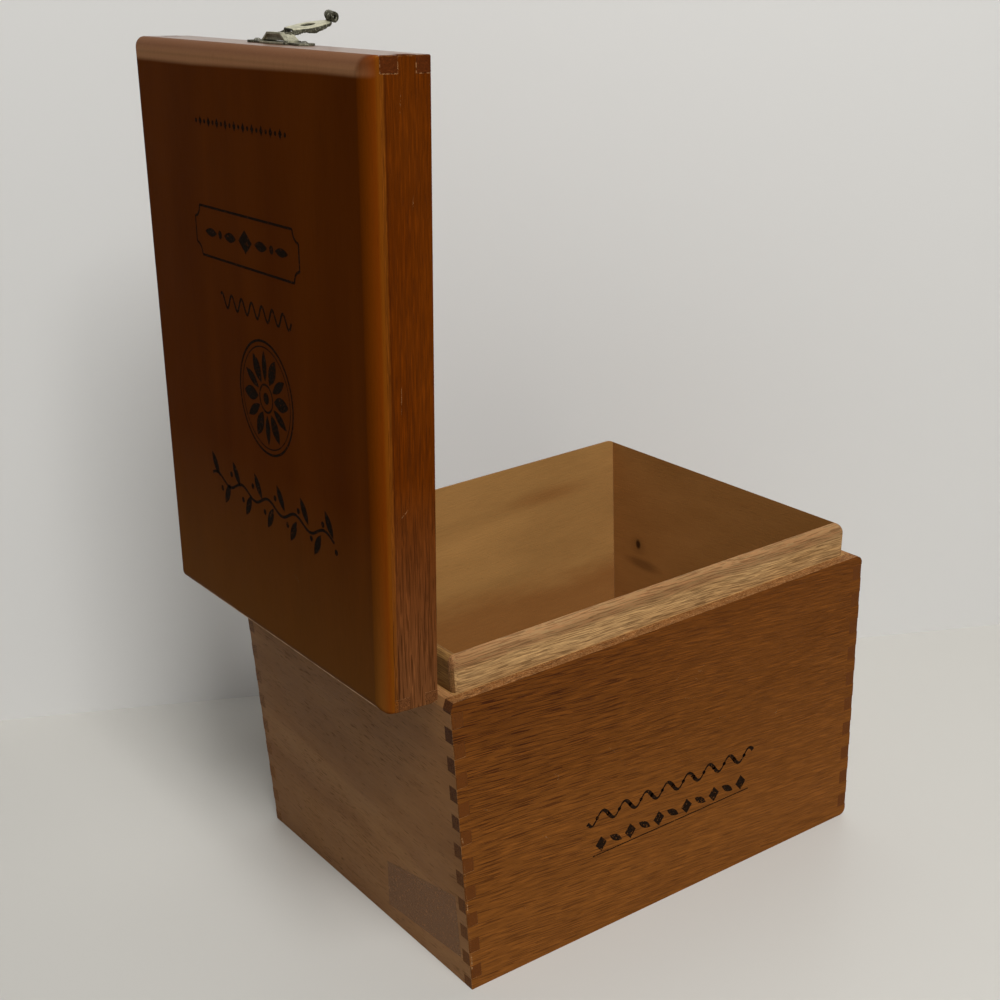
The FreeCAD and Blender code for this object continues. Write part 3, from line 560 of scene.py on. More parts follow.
def heartEdge(place, parts, wood, stained, raw):
    # redder heartwood below a wandering line, and one faint reddish cloud near the top
    wander = times(noise(place, *heart["wander"]), heart["wanderReach"])
    share = larger(remap(plus(parts[2], wander), *heart["height"]), spot(place, *heart["cloud"]))
    return mixColours(share, stained, heart["colour"]), raw


def knotAndFlame(place, parts, wood, stained, raw):
    # a small dark knot, the pale and dark flame beside it, and the pale line of the inner corner
    knot, flame, ring = (spot(place, *knotMark[key]) for key in ("knot", "flame", "ring"))
    flame = times(flame, remap(wood["Clouds"], *knotMark["clouds"]))
    stained = mixColours(larger(flame, ring), stained, knotMark["brown"])
    return tint(mixColours(knot, stained, knotMark["dark"]), parts[0], knotMark["corner"]), raw


def lipTones(place, parts, wood, stained, raw):
    # the rounded top of the lip is redder than its upright face, in streaks
    return stained, tint(raw, parts[2], lipMark["rounded"], remap(wood["Fibre"], *lipMark["streaks"]))


def endTones(place, parts, wood, stained, raw):
    # a little darker towards the rim and paler towards the foot, with more lines near the hinge side
    stained = tint(tint(stained, parts[2], endMark["paler"]), parts[2], endMark["darker"])
    back = remap(parts[1], *endMark["linesBack"])
    return tint(stained, parts[2], endMark["lines"], wood["Lines"], back), raw


def lidTones(place, parts, wood, stained, raw):
    # paler towards the hinges, and a pale painted sheen along the front edge's rounding
    stained = tint(stained, parts[1], lidMark["back"])
    reach = minus(parts[1], remap(parts[0], *lidMark["shift"]))
    paintedSheen = mixColours(remap(parts[1], *lidMark["paintedSheen"]), *lidMark["paintedSheenColours"])
    stained = tint(stained, reach, (lidMark["front"], paintedSheen), remap(parts[0], *lidMark["corner"]))
    # the stain has rubbed off along the back edge, and the bare wood there is painted paler still as a painted
    # highlight
    wornHighlitEdge = times(band(parts[1], *lidMark["rubbedAndHighlitY"]), band(parts[0], *lidMark["rubbedAndHighlitX"]))
    return tint(stained, noise(place, *lidMark["rubbedAndHighlitNoise"]), lidMark["rubbedAndHighlit"], wornHighlitEdge), raw


def amberEdge(place, parts, wood, stained, raw):
    # the stain is thin along the lower part of the lid's rounded edge, but for its front
    aside = larger(remap(parts[1], *amberMark["asideY"]), remap(parts[0], *amberMark["asideX"]))
    return tint(tint(stained, parts[2], amberMark["glow"], aside), parts[2], amberMark["thin"], aside), raw


def railTones(place, parts, wood, stained, raw):
    # the thin stain runs on below the rounding to a dark seam; the rest pales towards the hinges
    height = plus(parts[2], times(noise(place, *railMark["ragged"]), railMark["raggedReach"]))
    stained = tint(tint(stained, parts[1], railMark["paler"]), parts[1], railMark["darker"])
    stained = tint(tint(stained, height, railMark["amber"]), parts[1], railMark["lines"], wood["Lines"])
    seam = times(band(height, *railMark["seam"]), railMark["seamShare"])
    return mixColours(seam, stained, railMark["seamColour"]), raw


farEndFinish = dict(endFinish, endColour=shade(134, 96, 62), endStrength=0.85)
frontLinerFinish = dict(linerFinish, dark=shade(146, 101, 52), light=shade(162, 114, 62))
# the back liner: its raw wood painted darker, as painted shade
shadedFinish = dict(linerFinish, rawDark=shade(112, 80, 40), rawLight=shade(132, 97, 54))
# the lid's front rail: the same stain painted paler and greyer as a painted sheen, under a real coat
frontRailPaintedSheenFinish = dict(
    railFinish, dark=shade(100, 67, 46), light=shade(111, 77, 55), endColour=shade(72, 31, 6),
    endStrength=0.95, coat=1.0)
woods = {name: makeWood(name, finish, accents) for name, finish, *accents in (
    ("endWood", dict(farEndFinish, endColour=shade(72, 46, 28)), endTones),
    ("farEndWood", farEndFinish, endTones),
    ("broadPaintedLightWood", broadPaintedLightFinish),
    ("floorWood", linerFinish),
    ("linerWood", linerFinish, lipTones),
    ("shadedLinerWood", shadedFinish),
    ("heartLinerWood", linerFinish, lipTones, heartEdge),
    ("frontLinerWood", frontLinerFinish, lipTones, knotAndFlame),
    ("railWood", railFinish, railTones),
    ("frontRailPaintedSheenWood", frontRailPaintedSheenFinish),
    ("topWood", topFinish, lidTones, amberEdge),
)}
print("wood mixed")

# tarnished sheet metal: an attribute of tarnish, and on the clasp of painted shade too, runs from bright 0 to dark
# 1

nickelFinish = {
    "bright": shade(172, 168, 142), "dull": shade(46, 43, 26), "speck": shade(206, 204, 180),
    "blotchNoise": (420.0, 4.0, 0.65), "blotch": 1.1, "tarnishRange": (0.15, 0.85),
    "speckNoise": (1900.0, 2.0, 0.6), "speckRange": (0.56, 0.70), "specks": 0.45,
    "roughness": 0.4, "dullRoughness": 0.2, "metallic": 0.2, "bump": 0.3, "bumpDistance": 0.1 * mm,
}
brassFinish = dict(
    nickelFinish, bright=shade(150, 118, 62), dull=shade(74, 54, 28), speck=shade(188, 156, 92), specks=0.2,
    metallic=0.6)
steelFinish = dict(
    nickelFinish, bright=shade(150, 148, 134), dull=shade(46, 44, 32), speck=shade(206, 204, 186),
    specks=0.5, metallic=0.5)


def makeMetal(name, finish):
    material, tree, shader = newMaterial(name, Metallic=finish["metallic"])
    place = attribute(tree, "place")
    blotch = noise(place, *finish["blotchNoise"])
    specks = remap(noise(place, *finish["speckNoise"]), *finish["speckRange"])
    uneven = times(minus(blotch, 0.5), finish["blotch"])
    tarnish = remap(plus(attribute(tree, "tarnish", "Fac"), uneven), *finish["tarnishRange"])
    colour = mixColours(tarnish, finish["bright"], finish["dull"])
    colour = mixColours(times(specks, finish["specks"]), colour, finish["speck"])
    link(colour, shader.inputs["Base Color"])
    rough = remap(tarnish, 0.0, 1.0, finish["roughness"], finish["roughness"] + finish["dullRoughness"])
    link(rough, shader.inputs["Roughness"])
    bump = addNode(tree, "Bump", None, Strength=finish["bump"], Distance=finish["bumpDistance"],
                   Height=blotch)
    link(bump.outputs[0], shader.inputs["Normal"])
    return material


nickel = makeMetal("nickelPlate", nickelFinish)
brass = makeMetal("brassSheet", brassFinish)
steel = makeMetal("steelWire", steelFinish)
print("metal mixed")

# boards: each CAD board copied, merged, its arrises eased, and its grain laid along its length

acrossBox, alongBox, lidGrain = (0, 2, 1), (1, 2, 0), (1, 0, 2)  # closed axes along, across and through
boards = {
    # node: (piece, body, wood, grain axes, slope of the grain in degrees)
    "front_panel": ("frontBoard", "carcass", "broadPaintedLightWood", acrossBox, 0.0),
    "back_panel": ("backBoard", "carcass", "broadPaintedLightWood", acrossBox, -2.0),
    "left_end_panel": ("leftEndBoard", "carcass", "endWood", alongBox, -5.5),
    "right_end_panel": ("rightEndBoard", "carcass", "farEndWood", alongBox, 3.0),
    "bottom_panel": ("floorBoard", "carcass", "floorWood", lidGrain, 0.0),
    "front_liner": ("frontLinerBoard", "carcass", "frontLinerWood", acrossBox, 4.0),
    "back_liner": ("backLinerBoard", "carcass", "shadedLinerWood", acrossBox, 0.0),
    "left_liner": ("leftLinerBoard", "carcass", "linerWood", alongBox, -2.0),
    "right_liner": ("rightLinerBoard", "carcass", "heartLinerWood", alongBox, 3.0),
    "lid_top_panel": ("lidTopBoard", "lid", "topWood", lidGrain, 0.0),
    "lid_front_rail": ("lidFrontRail", "lid", "frontRailPaintedSheenWood", acrossBox, 0.0),
    "lid_back_rail": ("lidBackRail", "lid", "railWood", acrossBox, 0.0),
    "lid_left_rail": ("lidLeftRail", "lid", "railWood", alongBox, 0.0),
    "lid_right_rail": ("lidRightRail", "lid", "railWood", alongBox, 0.0),
}
easing = {
    "arris": 0.4 * mm,  # rounding of the box's outer corners
    "joint": 0.10 * mm,  # rounding where boards meet
    "cornerReach": 0.1 * mm,  # how near to an outer corner line an edge counts as on it
    "shortest": 1.0 * mm,  # shorter edges stay sharp
    "sharpAngle": math.radians(30.0),
    "flatAngle": math.radians(0.5),
    "merge": 0.002 * mm,
    "weld": 0.0001 * mm,
    "touch": 0.01 * mm,  # how near to a plane counts as on it
    "skin": 0.03 * mm,  # the room kept free for print on the outer faces
    "lidTop": rimHeight + 20.6 * mm,
}
lip = {
    "top": nodeBox["left_liner"][1][2],
    "front": nodeBox["left_liner"][0][1] + 0.4 * mm,
    "cadRound": 6.2 * mm,
    "frontRound": 4.3 * mm,
    "crossEnd": nodeBox["front_liner"][1][0],
    "boards": ("left_liner", "right_liner", "front_liner"),
}
stainRule = {
    # a face is stained if it lies within this of the outside and faces out by more than this
    "x": (2.5 * mm, 0.35),
    "y": (3.6 * mm, 0.1),
    "z": (5.0 * mm, 0.2),
    # a liner's stained side faces the inside from farther in than this
    "inside": (7.0 * mm, 0.5),
    "ledge": (0.5 * mm, 0.6),
    "ledgeStain": 0.55,
    "endNormal": 0.6,
    "wearWidth": 1.0 * mm,
    "ownWood": 3.0,  # how far the grain shifts from board to board
}


def cleanCopy(node):
    # the CAD node's loose triangles merged, and its flat stretches joined into single faces
    form = bmesh.new()
    form.from_mesh(frame["nodes"][node].data)
    bmesh.ops.remove_doubles(form, verts=form.verts, dist=easing["merge"])
    bmesh.ops.dissolve_limit(form, angle_limit=easing["flatAngle"], verts=form.verts, edges=form.edges)
    return form


def thinSkin(form, body):
    # draws the outermost faces in by the skin, so that print laid on them stays inside the box's size,
    # and lifts the lid's underside off the rim by the same skin
    skin, touch, top = easing["skin"], easing["touch"], easing["lidTop"]
    points = closedPlace(np.array([vertex.co for vertex in form.verts]), body)
    for axis, reach in ((0, halfWidth), (1, halfDepth)):
        outer = np.abs(points[:, axis]) > reach - touch
        points[outer, axis] = np.sign(points[outer, axis]) * (reach - skin)
    points[points[:, 2] > top - touch, 2] = top - skin
    if body == "lid":
        points[np.abs(points[:, 2] - rimHeight) < touch, 2] = rimHeight + skin
    for vertex, place in zip(form.verts, openPlace(points, body)):
        vertex.co = place


def easeEdges(form, offset, segments=2, shortest=0.0, chosen=None):
    sharp = [edge for edge in form.edges if len(edge.link_faces) == 2 and edge.calc_length() > shortest
             and edge.calc_face_angle(0.0) > easing["sharpAngle"] and (chosen is None or chosen(edge))]
    if sharp:
        bmesh.ops.bevel(form, geom=sharp, offset=offset, offset_type="OFFSET", segments=segments, profile=0.5,
                        affect="EDGES", clamp_overlap=True, material=-1)


def tightenLip(form):
    # the lip's front corner: the CAD arc scaled to a tighter one about the lip's square corner
    front, top, radius, tight = lip["front"], lip["top"], lip["cadRound"], lip["frontRound"]
    touch = easing["touch"]
    corner = np.array([front, top])
    for vertex in form.verts:
        y, z = vertex.co.y, vertex.co.z
        if z < top - radius - touch or y > front + radius + touch:
            continue
        if abs(vertex.co.x) > lip["crossEnd"] - touch:
            vertex.co.y, vertex.co.z = corner + (np.array([y, z]) - corner) * tight / radius
        elif z > top - radius + touch:
            across = min(max(y - front, 0.0), tight)
            vertex.co.z = top - tight + math.sqrt(tight ** 2 - (tight - across) ** 2)
        else:
            vertex.co.z = top - tight


def slotOf(node):
    return next(part["material_slot"] for part in frame["record"]["subparts"] if part["node"] == node)


def addPiece(form, name, body, material, node, replaced=True, smooth=True):
    # the form as a piece, in the node's place if that is replaced
    mesh = bpy.data.meshes.new(name)
    form.to_mesh(mesh)
    form.free()
    mesh.materials.append(material)
    piece = bpy.data.objects.new(name, mesh)
    bpy.context.scene.collection.objects.link(piece)
    if smooth:
        mesh.polygons.foreach_set("use_smooth", np.ones(len(mesh.polygons), dtype=bool))
        mesh.set_sharp_from_angle(angle=easing["sharpAngle"])
        evened = piece.modifiers.new("evenShading", "WEIGHTED_NORMAL")
        evened.keep_sharp = True
    if replaced:
        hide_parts(node)
    slotOf(node)
    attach(piece, body)
    return mesh


def readVectors(items, key, body):
    values = np.empty(len(items) * 3)
    items.foreach_get(key, values)
    return closedPlace(values.reshape(-1, 3), body)


def addAttributes(mesh, kind, domain, **values):
    for title, numbers in values.items():
        data = mesh.attributes.new(title, kind, domain).data
        data.foreach_set("value" if kind == "FLOAT" else "vector", np.ravel(numbers))


def fromArris(points):
    # for points of the closed box: how far each is from the nearest outer corner line
    gaps = np.column_stack([halfWidth - np.abs(points[:, 0]), halfDepth - np.abs(points[:, 1])])
    return gaps.max(axis=1)


def layGrain(mesh, name, body, axes, seed, slope):
    # the wood's attributes: grain and place per point; stain, end grain and wear per face
    closed = readVectors(mesh.vertices, "co", body)
    grain = closed[:, list(axes)]
    # the grain is turned in the board's face by the slope, then shifted to wood of its own
    cosine, sine = math.cos(math.radians(slope)), math.sin(math.radians(slope))
    along = grain[:, 0] * cosine - grain[:, 1] * sine
    across = grain[:, 0] * sine + grain[:, 1] * cosine
    shift = np.random.default_rng(seed).uniform(0.0, stainRule["ownWood"], 3)
    grain = np.column_stack([along, across, grain[:, 2]]) + shift
    addAttributes(mesh, "FLOAT_VECTOR", "POINT", grain=grain, place=closed)
    centres = readVectors(mesh.polygons, "center", body)
    normals = readVectors(mesh.polygons, "normal", body) - closedPlace(np.zeros((1, 3)), body)
    outward = normals * np.sign(centres)
    depths = np.array([halfWidth, halfDepth, easing["lidTop"]]) - np.abs(centres)
    rules = np.array([stainRule[key] for key in "xyz"])
    stain = ((depths < rules[:, 0]) & (outward > rules[:, 1])).any(axis=1).astype(float)
    if "Liner" in name or name == "floorBoard":
        # the smooth sides that face the inside of the box, against the sawn faces of the lip
        depth, facing = stainRule["inside"]
        inward = (depths[:, :2] > depth) & (outward[:, :2] < -facing)
        stain = (inward.any(axis=1) | (name == "floorBoard")).astype(float)
    near, facing = stainRule["ledge"]
    rimLedge = (np.abs(centres[:, 2] - rimHeight) < near) & (normals[:, 2] > facing) & (body == "carcass")
    stain[rimLedge & (stain < 0.5)] = stainRule["ledgeStain"]
    endGrain = (np.abs(normals[:, axes[0]]) > stainRule["endNormal"]).astype(float)
    wear = np.clip(1.0 - fromArris(centres) / stainRule["wearWidth"], 0.0, 1.0)
    addAttributes(mesh, "FLOAT", "FACE", stain=stain, endGrain=endGrain, wear=wear)


def makeBoards():
    for seed, (node, (name, body, wood, axes, slope)) in enumerate(boards.items(), start=11):
        form = cleanCopy(node)

        def outer(edge):
            ends = closedPlace(np.array([vertex.co for vertex in edge.verts]), body)
            return bool((fromArris(ends) < easing["cornerReach"]).all())

        if node in lip["boards"]:
            tightenLip(form)
        if "liner" not in node and node != "bottom_panel":
            thinSkin(form, body)
            easeEdges(form, easing["arris"], chosen=outer)
        easeEdges(form, easing["joint"], 1, easing["shortest"])
        layGrain(addPiece(form, name, body, woods[wood], node), name, body, axes, seed, slope)


makeBoards()
print("boards made:", len(boards))

# metal parts: tarnish and place per point

fittings = {
    # node: (piece, body, material, tarnish)
    "left_hinge_body_leaf": ("leftHingeLowerLeaf", "carcass", brass, 0.5),
    "right_hinge_body_leaf": ("rightHingeLowerLeaf", "carcass", brass, 0.5),
    "left_hinge_lid_leaf": ("leftHingeUpperLeaf", "lid", brass, 0.5),
    "right_hinge_lid_leaf": ("rightHingeUpperLeaf", "lid", brass, 0.5),
    "left_hinge_pin": ("leftHingeRod", "carcass", steel, 0.5),
    "right_hinge_pin": ("rightHingeRod", "carcass", steel, 0.5),
    "hinge_body_nails": ("hingeLowerNails", "carcass", steel, 0.6),
    "hinge_lid_nails": ("hingeUpperNails", "lid", steel, 0.6),
    "catch_plate": ("catchStrip", "carcass", nickel, 0.45),
    "catch_plate_nails": ("catchNails", "carcass", steel, 0.6),
    "clasp_plate_nails": ("claspNails", "lid", steel, 0.6),
    "clasp_pin": ("claspRod", "lid", steel, 0.7),
}
fittingEase = {"round": 0.12 * mm, "shortest": 0.5 * mm}


def layTarnishAndShade(mesh, body, tarnish):
    closed = readVectors(mesh.vertices, "co", body)
    addAttributes(mesh, "FLOAT_VECTOR", "POINT", place=closed)
    values = np.full(len(closed), tarnish) if np.isscalar(tarnish) else tarnish(closed)
    addAttributes(mesh, "FLOAT", "POINT", tarnish=values)


def makeFittings():
    for node, (name, body, material, tarnish) in fittings.items():
        form = cleanCopy(node)
        easeEdges(form, fittingEase["round"], shortest=fittingEase["shortest"])
        layTarnishAndShade(addPiece(form, name, body, material, node), body, tarnish)


makeFittings()
print("fittings made:", len(fittings))

# clasp: drawn in its own lengths, then set on the shut lid and swung open with it



def inMetres(lengths):
    # numbers in mm, alone or in tuples, as metres
    if isinstance(lengths, dict):
        return {key: inMetres(value) for key, value in lengths.items()}
    return tuple(inMetres(value) for value in lengths) if isinstance(lengths, tuple) else lengths * mm


clasp = inMetres({
    "endInset": 0.05,  # from the CAD plate's end
    "plateZ": 119.9,
    "underside": 0.03,
    "sheet": 0.65,
    "lobe": 3.1,
    "waist": 2.3,
    "waistFrom": (8.4, 9.6),
    "archFoot": 8.8,  # half length over the arch's feet
    "archBase": 7.5,
    "archFloor": 1.04,
    "archTop": 4.2,
    "archRise": 3.2,
    "archHalf": 2.35,  # half its width
    "archBend": 0.9,
    "gapHalf": 3.35,  # half the gap in its top that takes the tongue
    "gapEnd": 0.72,  # where the gap ends, above the plate's middle
    "wall": (0.9, 0.4, 0.3),  # how far its foot, its top's ends and its top lie inside the arch
    "wallSides": (0.3, 0.45),
    "pinOut": 2.2,
    "pinDown": 1.2,
    "rollWithin": 4.0,  # the tongue's twist grows over this length
    "ease": 0.1,
    # tarnish and painted shade: how far below the arch's top its underside begins, the height from which metal
    # counts as arch, and the rim as what lies this far from the lobes' centres
    "underBelow": 0.2,
    "archAbove": 1.2,
    "lobeCentre": 14.9,
    "rimFrom": 2.2,
})
clasp |= {
    "lugShare": 0.72,  # the height of the lugs beside the gap, against the arch's
    "restAngle": math.radians(8.0),
    "roll": math.radians(8.0),  # the tongue is twisted a little about its length
    "shade": (0.52, 0.2),  # tarnish and painted shade under the arch, and how much of it is lost at the arch's top
    "archShade": 0.5,
    "plateShades": (0.38, 0.5),  # the plate's middle, and what its rim adds
}
tongue = inMetres({
    "start": 1.9,
    "end": 16.1,
    "top": 1.75,
    "sheet": 0.6,
    "corner": 0.65,
    # (along, half width) and (along, depth of the turned-down edge)
    "halfWidths": ((1.9, 2.9), (5.2, 2.95), (6.9, 3.55), (10.4, 3.5), (13.6, 2.6), (15.4, 2.0), (16.1, 1.2)),
    "depths": ((1.9, 1.95), (4.0, 1.5), (6.0, 1.4), (8.2, 2.0), (10.0, 1.8), (13.0, 1.35), (16.1, 0.66)),
    "slot": (6.0, 11.0, 1.6),  # from, to and half width of an oval
    "slotWeb": 2.9,  # half width of the web at the slot
    "ragged": 0.16,  # unevenness of the turned-down edges
    "raggedFrom": 2.5,
    "least": 0.05,  # least half width of the web
    "curlAt": 16.7,
    "curlRise": 2.78,
    "curlRadius": 1.55,
    "curlHalf": 1.8,
    "curlSheet": 0.9,
    "stemHalf": 1.0,
    "stemFoot": (-0.5, 0.2),
    "eyeRadii": (1.0, 0.55),
    "eyeSides": (2.9, 2.25),
    "armSides": (2.85, 2.3),
    "arm": ((0.6, -0.3), (2.4, 0.1), (2.4, 1.2), (0.5, 0.9)),
    "ease": 0.08,
    "shadeFrom": (0.35, 0.3, 0.3, 15.0),  # below the web, in from the edge, above the web and along
})
tongue |= {
    "stations": (12, 7, 14),  # rings before, along and after the slot
    "slotColumns": range(6, 10),  # of the sheet's faces, counted across it
    "slotLeast": 0.03,  # the oval's ends are blunt
    "curlTurn": (215.0, -265.0),
    "curlEnd": 0.45,  # the roll's last radius against its first
    "stemBack": 0.95,
    "shades": (0.25, 0.85, 1.3, 1.05),  # tarnish and painted shade of the web, the turned-down edges, their inside and the curl
}


def claspPlace(points):
    # from (along X, up on the lid's front, out of it) to the open lid
    closed = np.column_stack([points[:, 0], -halfDepth - points[:, 2], clasp["plateZ"] + points[:, 1]])
    return openPlace(closed, "lid")


def tonguePlace(points):
    # from (across, along the tongue, out of it), measured from the clasp's pin, to the open lid
    rest, top = clasp["restAngle"], tongue["top"]
    twist = clasp["roll"] * np.clip(points[:, 1] / clasp["rollWithin"], 0.0, 1.0)
    rise = points[:, 2] - top
    across = points[:, 0] * np.cos(twist) - rise * np.sin(twist)
    out = top + rise * np.cos(twist) + points[:, 0] * np.sin(twist)
    closedY = -halfDepth - clasp["pinOut"] - out * math.cos(rest) - points[:, 1] * math.sin(rest)
    closedZ = clasp["plateZ"] - clasp["pinDown"] - points[:, 1] * math.cos(rest) + out * math.sin(rest)
    return openPlace(np.column_stack([across, closedY, closedZ]), "lid")


def joined(parts):
    # several shapes of (points, faces) as one
    points, faces, start = [], [], 0
    for block, blockFaces in parts:
        points.append(block)
        faces += [tuple(index + start for index in face) for face in blockFaces]
        start += len(block)
    return np.vstack(points), faces


def between(first, second, count):
    # the faces between two rings of count points each, given the index of each ring's first point
    return [(first + i, second + i, second + (i + 1) % count, first + (i + 1) % count) for i in range(count)]


def prism(low, high):
    # the closed solid between two like outlines
    count = len(low)
    ends = [tuple(range(count)), tuple(range(count, 2 * count))[::-1]]
    return np.vstack([low, high]), ends + between(0, count, count)


def formFromFaces(points, faces):
    form = bmesh.new()
    vertices = [form.verts.new(tuple(point)) for point in points]
    for face in faces:
        form.faces.new([vertices[index] for index in face])
    bmesh.ops.remove_doubles(form, verts=form.verts, dist=easing["weld"])
    bmesh.ops.recalc_face_normals(form, faces=form.faces)
    return form


def leftOf(path):
    # at each point of a path, the unit direction to its left
    tangent = np.gradient(path, axis=0)
    tangent = tangent / np.linalg.norm(tangent, axis=1)[:, None]
    return np.column_stack([-tangent[:, 1], tangent[:, 0]])


def bentStrip(path, halfWidths, thickness):
    # a strip of sheet along a path of (a, b) points, as (a, b, c) points with c across the strip
    path = np.array(path)
    inner = path - leftOf(path) * thickness
    halfWidths = np.broadcast_to(halfWidths, len(path))
    rings = [np.column_stack([line, sign * halfWidths])
             for line, sign in ((path, -1), (path, 1), (inner, 1), (inner, -1))]
    points = np.stack(rings, axis=1).reshape(-1, 3)
    faces = [(0, 1, 2, 3), tuple(4 * len(path) - number for number in (1, 2, 3, 4))]
    for step in range(len(path) - 1):
        faces += between(4 * step, 4 * step + 4, 4)
    return points, faces


def arc(centre, radius, start, end, count):
    angles = np.radians(np.linspace(start, end, count))
    return np.column_stack([centre[0] + radius * np.cos(angles), centre[1] + radius * np.sin(angles)])


def disc(x, y, radius, count=20):
    return [arc((x, y), radius, 0.0, 360.0 * (count - 1) / count, count)]


def lobedPlate():
    # full in the middle, a waist, then round lobes
    lobe = clasp["lobe"]
    centre = nodeBox["clasp_plate"][1][0] - clasp["endInset"] - lobe
    lobeEnd = centre + lobe * np.sin(np.linspace(0.0, math.pi / 2, 14)[1:])
    x = np.concatenate([np.linspace(0.0, centre, 40), lobeEnd])
    circle = np.sqrt(np.maximum(lobe ** 2 - (x - centre) ** 2, 0.0))
    middle = np.interp(x, clasp["waistFrom"], (lobe, clasp["waist"]))
    quarter = np.column_stack([x, np.maximum(circle, np.where(x < centre, middle, 0.0))])
    upper = np.vstack([quarter[::-1], (quarter * [-1, 1])[1:]])
    outline = np.vstack([upper, (upper * [-1, -1])[1:-1]])
    return prism(*(np.column_stack([outline, np.full(len(outline), height)])
                   for height in (clasp["underside"], clasp["sheet"])))


def arch():
    # feet on the plate, sloping legs, a flat top and rounded bends
    foot, base, top, rise, floor, bend, half = (
        clasp["arch" + key] for key in ("Foot", "Base", "Top", "Rise", "Floor", "Bend", "Half"))
    gapEnd = clasp["gapEnd"]
    slope = math.degrees(math.atan2(rise - floor, base - top))
    leg = bend * math.tan(math.radians(slope / 2))
    right = np.vstack([[[foot, floor]], arc((base + leg, floor + bend), bend, 270.0, 270.0 - slope, 5),
                       arc((top - leg, rise - bend), bend, 90.0 - slope, 90.0, 6)])
    whole = np.vstack([right, (right * [-1, 1])[::-1]])
    lug = np.vstack([right, [[clasp["gapHalf"], rise]]])
    lug[:, 1] = floor + (lug[:, 1] - floor) * clasp["lugShare"]
    parts = []
    # the whole arch above the gap, and a lug on each side of it
    for path, low, high in ((whole[::-1], gapEnd, half), (lug[::-1], -half, gapEnd),
                            (lug * [-1, 1], -half, gapEnd)):
        strip, faces = bentStrip(path, (high - low) / 2, clasp["sheet"])
        parts.append((strip + [0.0, 0.0, (low + high) / 2], faces))
    # the wall that closes the arch on the side of the gap's end, set a little back
    footIn, endIn, topIn = clasp["wall"]
    x = np.array([base - footIn, top - endIn, endIn - top, footIn - base])
    out = np.array([floor, rise - topIn, rise - topIn, floor])
    sides = (gapEnd + clasp["wallSides"][0], half - clasp["wallSides"][1])
    parts.append(prism(*(np.column_stack([x, out, np.full(4, side)]) for side in sides)))
    points, faces = joined(parts)
    return points[:, [0, 2, 1]], faces


def plateTarnishAndShade(closed):
    # tarnish and painted shade under the arch, darkest near the plate, and tarnish towards the plate's rim
    out = -halfDepth - closed[:, 1]
    under = (np.abs(closed[:, 0]) < clasp["archBase"]) & (out < clasp["archRise"] - clasp["underBelow"])
    deep = clasp["shade"][0] - clasp["shade"][1] * np.clip(out / clasp["archRise"], 0.0, 1.0)
    beyond = np.maximum(np.abs(closed[:, 0]) - clasp["lobeCentre"], 0.0)
    rim = np.hypot(beyond, closed[:, 2] - clasp["plateZ"]) > clasp["rimFrom"]
    flat = clasp["plateShades"][0] + clasp["plateShades"][1] * rim
    return np.where(under, deep, np.where(out > clasp["archAbove"], clasp["archShade"], flat))


def makeClaspPlate():
    points, faces = joined([lobedPlate(), arch()])
    form = formFromFaces(claspPlace(points), faces)
    easeEdges(form, clasp["ease"])
    layTarnishAndShade(addPiece(form, "claspPlatePiece", "lid", nickel, "clasp_plate"), "lid", plateTarnishAndShade)


def tongueAt(along, key):
    return np.interp(along, *np.array(tongue[key]).T)


def tongueSheet():
    # a channel of sheet: rings along its length, each from one turned-down edge over the web to the other
    random = np.random.default_rng(5)
    slotFrom, slotTo, slotHalf = tongue["slot"]
    corner, top = tongue["corner"], tongue["top"]
    stops = (tongue["start"], slotFrom, slotTo, tongue["end"])
    stations = np.unique(np.concatenate([np.linspace(*ends, count) for *ends, count
                                         in zip(stops, stops[1:], tongue["stations"])]))
    bend = np.radians(np.linspace(180.0, 90.0, 5))[:-1]
    curve = np.column_stack([np.cos(bend), np.sin(bend)])
    normals = np.vstack([[(-1.0, 0.0)], curve, [(0.0, 1.0)] * 7, (curve * [-1, 1])[::-1], [(1.0, 0.0)]])
    outer, inner = [], []
    widths, depths = (tongueAt(stations, key) for key in ("halfWidths", "depths"))
    for station, width, depth in zip(stations, widths, depths):
        ragged = np.zeros(2)
        if station > tongue["raggedFrom"]:
            ragged = random.uniform(-tongue["ragged"], tongue["ragged"], 2)
        reach = max(width - corner, tongue["least"])
        share = 1.0 - ((station - (slotFrom + slotTo) / 2) / ((slotTo - slotFrom) / 2)) ** 2
        oval = slotHalf * math.sqrt(max(share, tongue["slotLeast"])) / tongue["slotWeb"]
        left = curve * corner + [-reach, top - corner]
        web = np.array([-1.0, -oval, -oval / 2, 0.0, oval / 2, oval, 1.0]) * reach
        edges = [[(side * width, top - depth + rag)] for side, rag in zip((-1, 1), ragged)]
        crown = np.column_stack([web, np.full(len(web), top)])
        ring = np.vstack([edges[0], left, crown, (left * [-1, 1])[::-1], edges[1]])
        for rings, line in ((outer, ring), (inner, ring - normals * tongue["sheet"])):
            rings.append(np.column_stack([line[:, 0], np.full(len(line), station), line[:, 1]]))
    count, size = len(outer), len(outer[0])
    shift = count * size
    solid = np.zeros((count + 1, size + 1), dtype=bool)
    inSlot = (stations[:-1] > slotFrom - easing["touch"]) & (stations[1:] < slotTo + easing["touch"])
    cells = [(i, j) for i in range(count - 1) for j in range(size - 1)
             if not (inSlot[i] and j in tongue["slotColumns"])]
    for cell in cells:
        solid[cell] = True
    faces = []
    for i, j in cells:
        a, b = i * size + j, (i + 1) * size + j
        faces += [(a, a + 1, b + 1, b), (a + shift, b + shift, b + 1 + shift, a + 1 + shift)]
        # a wall between the two skins wherever the sheet ends
        for first, second, beyond in ((a, a + 1, (i - 1, j)), (b + 1, b, (i + 1, j)), (b, a, (i, j - 1)),
                                    (a + 1, b + 1, (i, j + 1))):
            if not solid[beyond]:
                faces.append((first, first + shift, second + shift, second))
    return np.vstack(outer + inner), faces


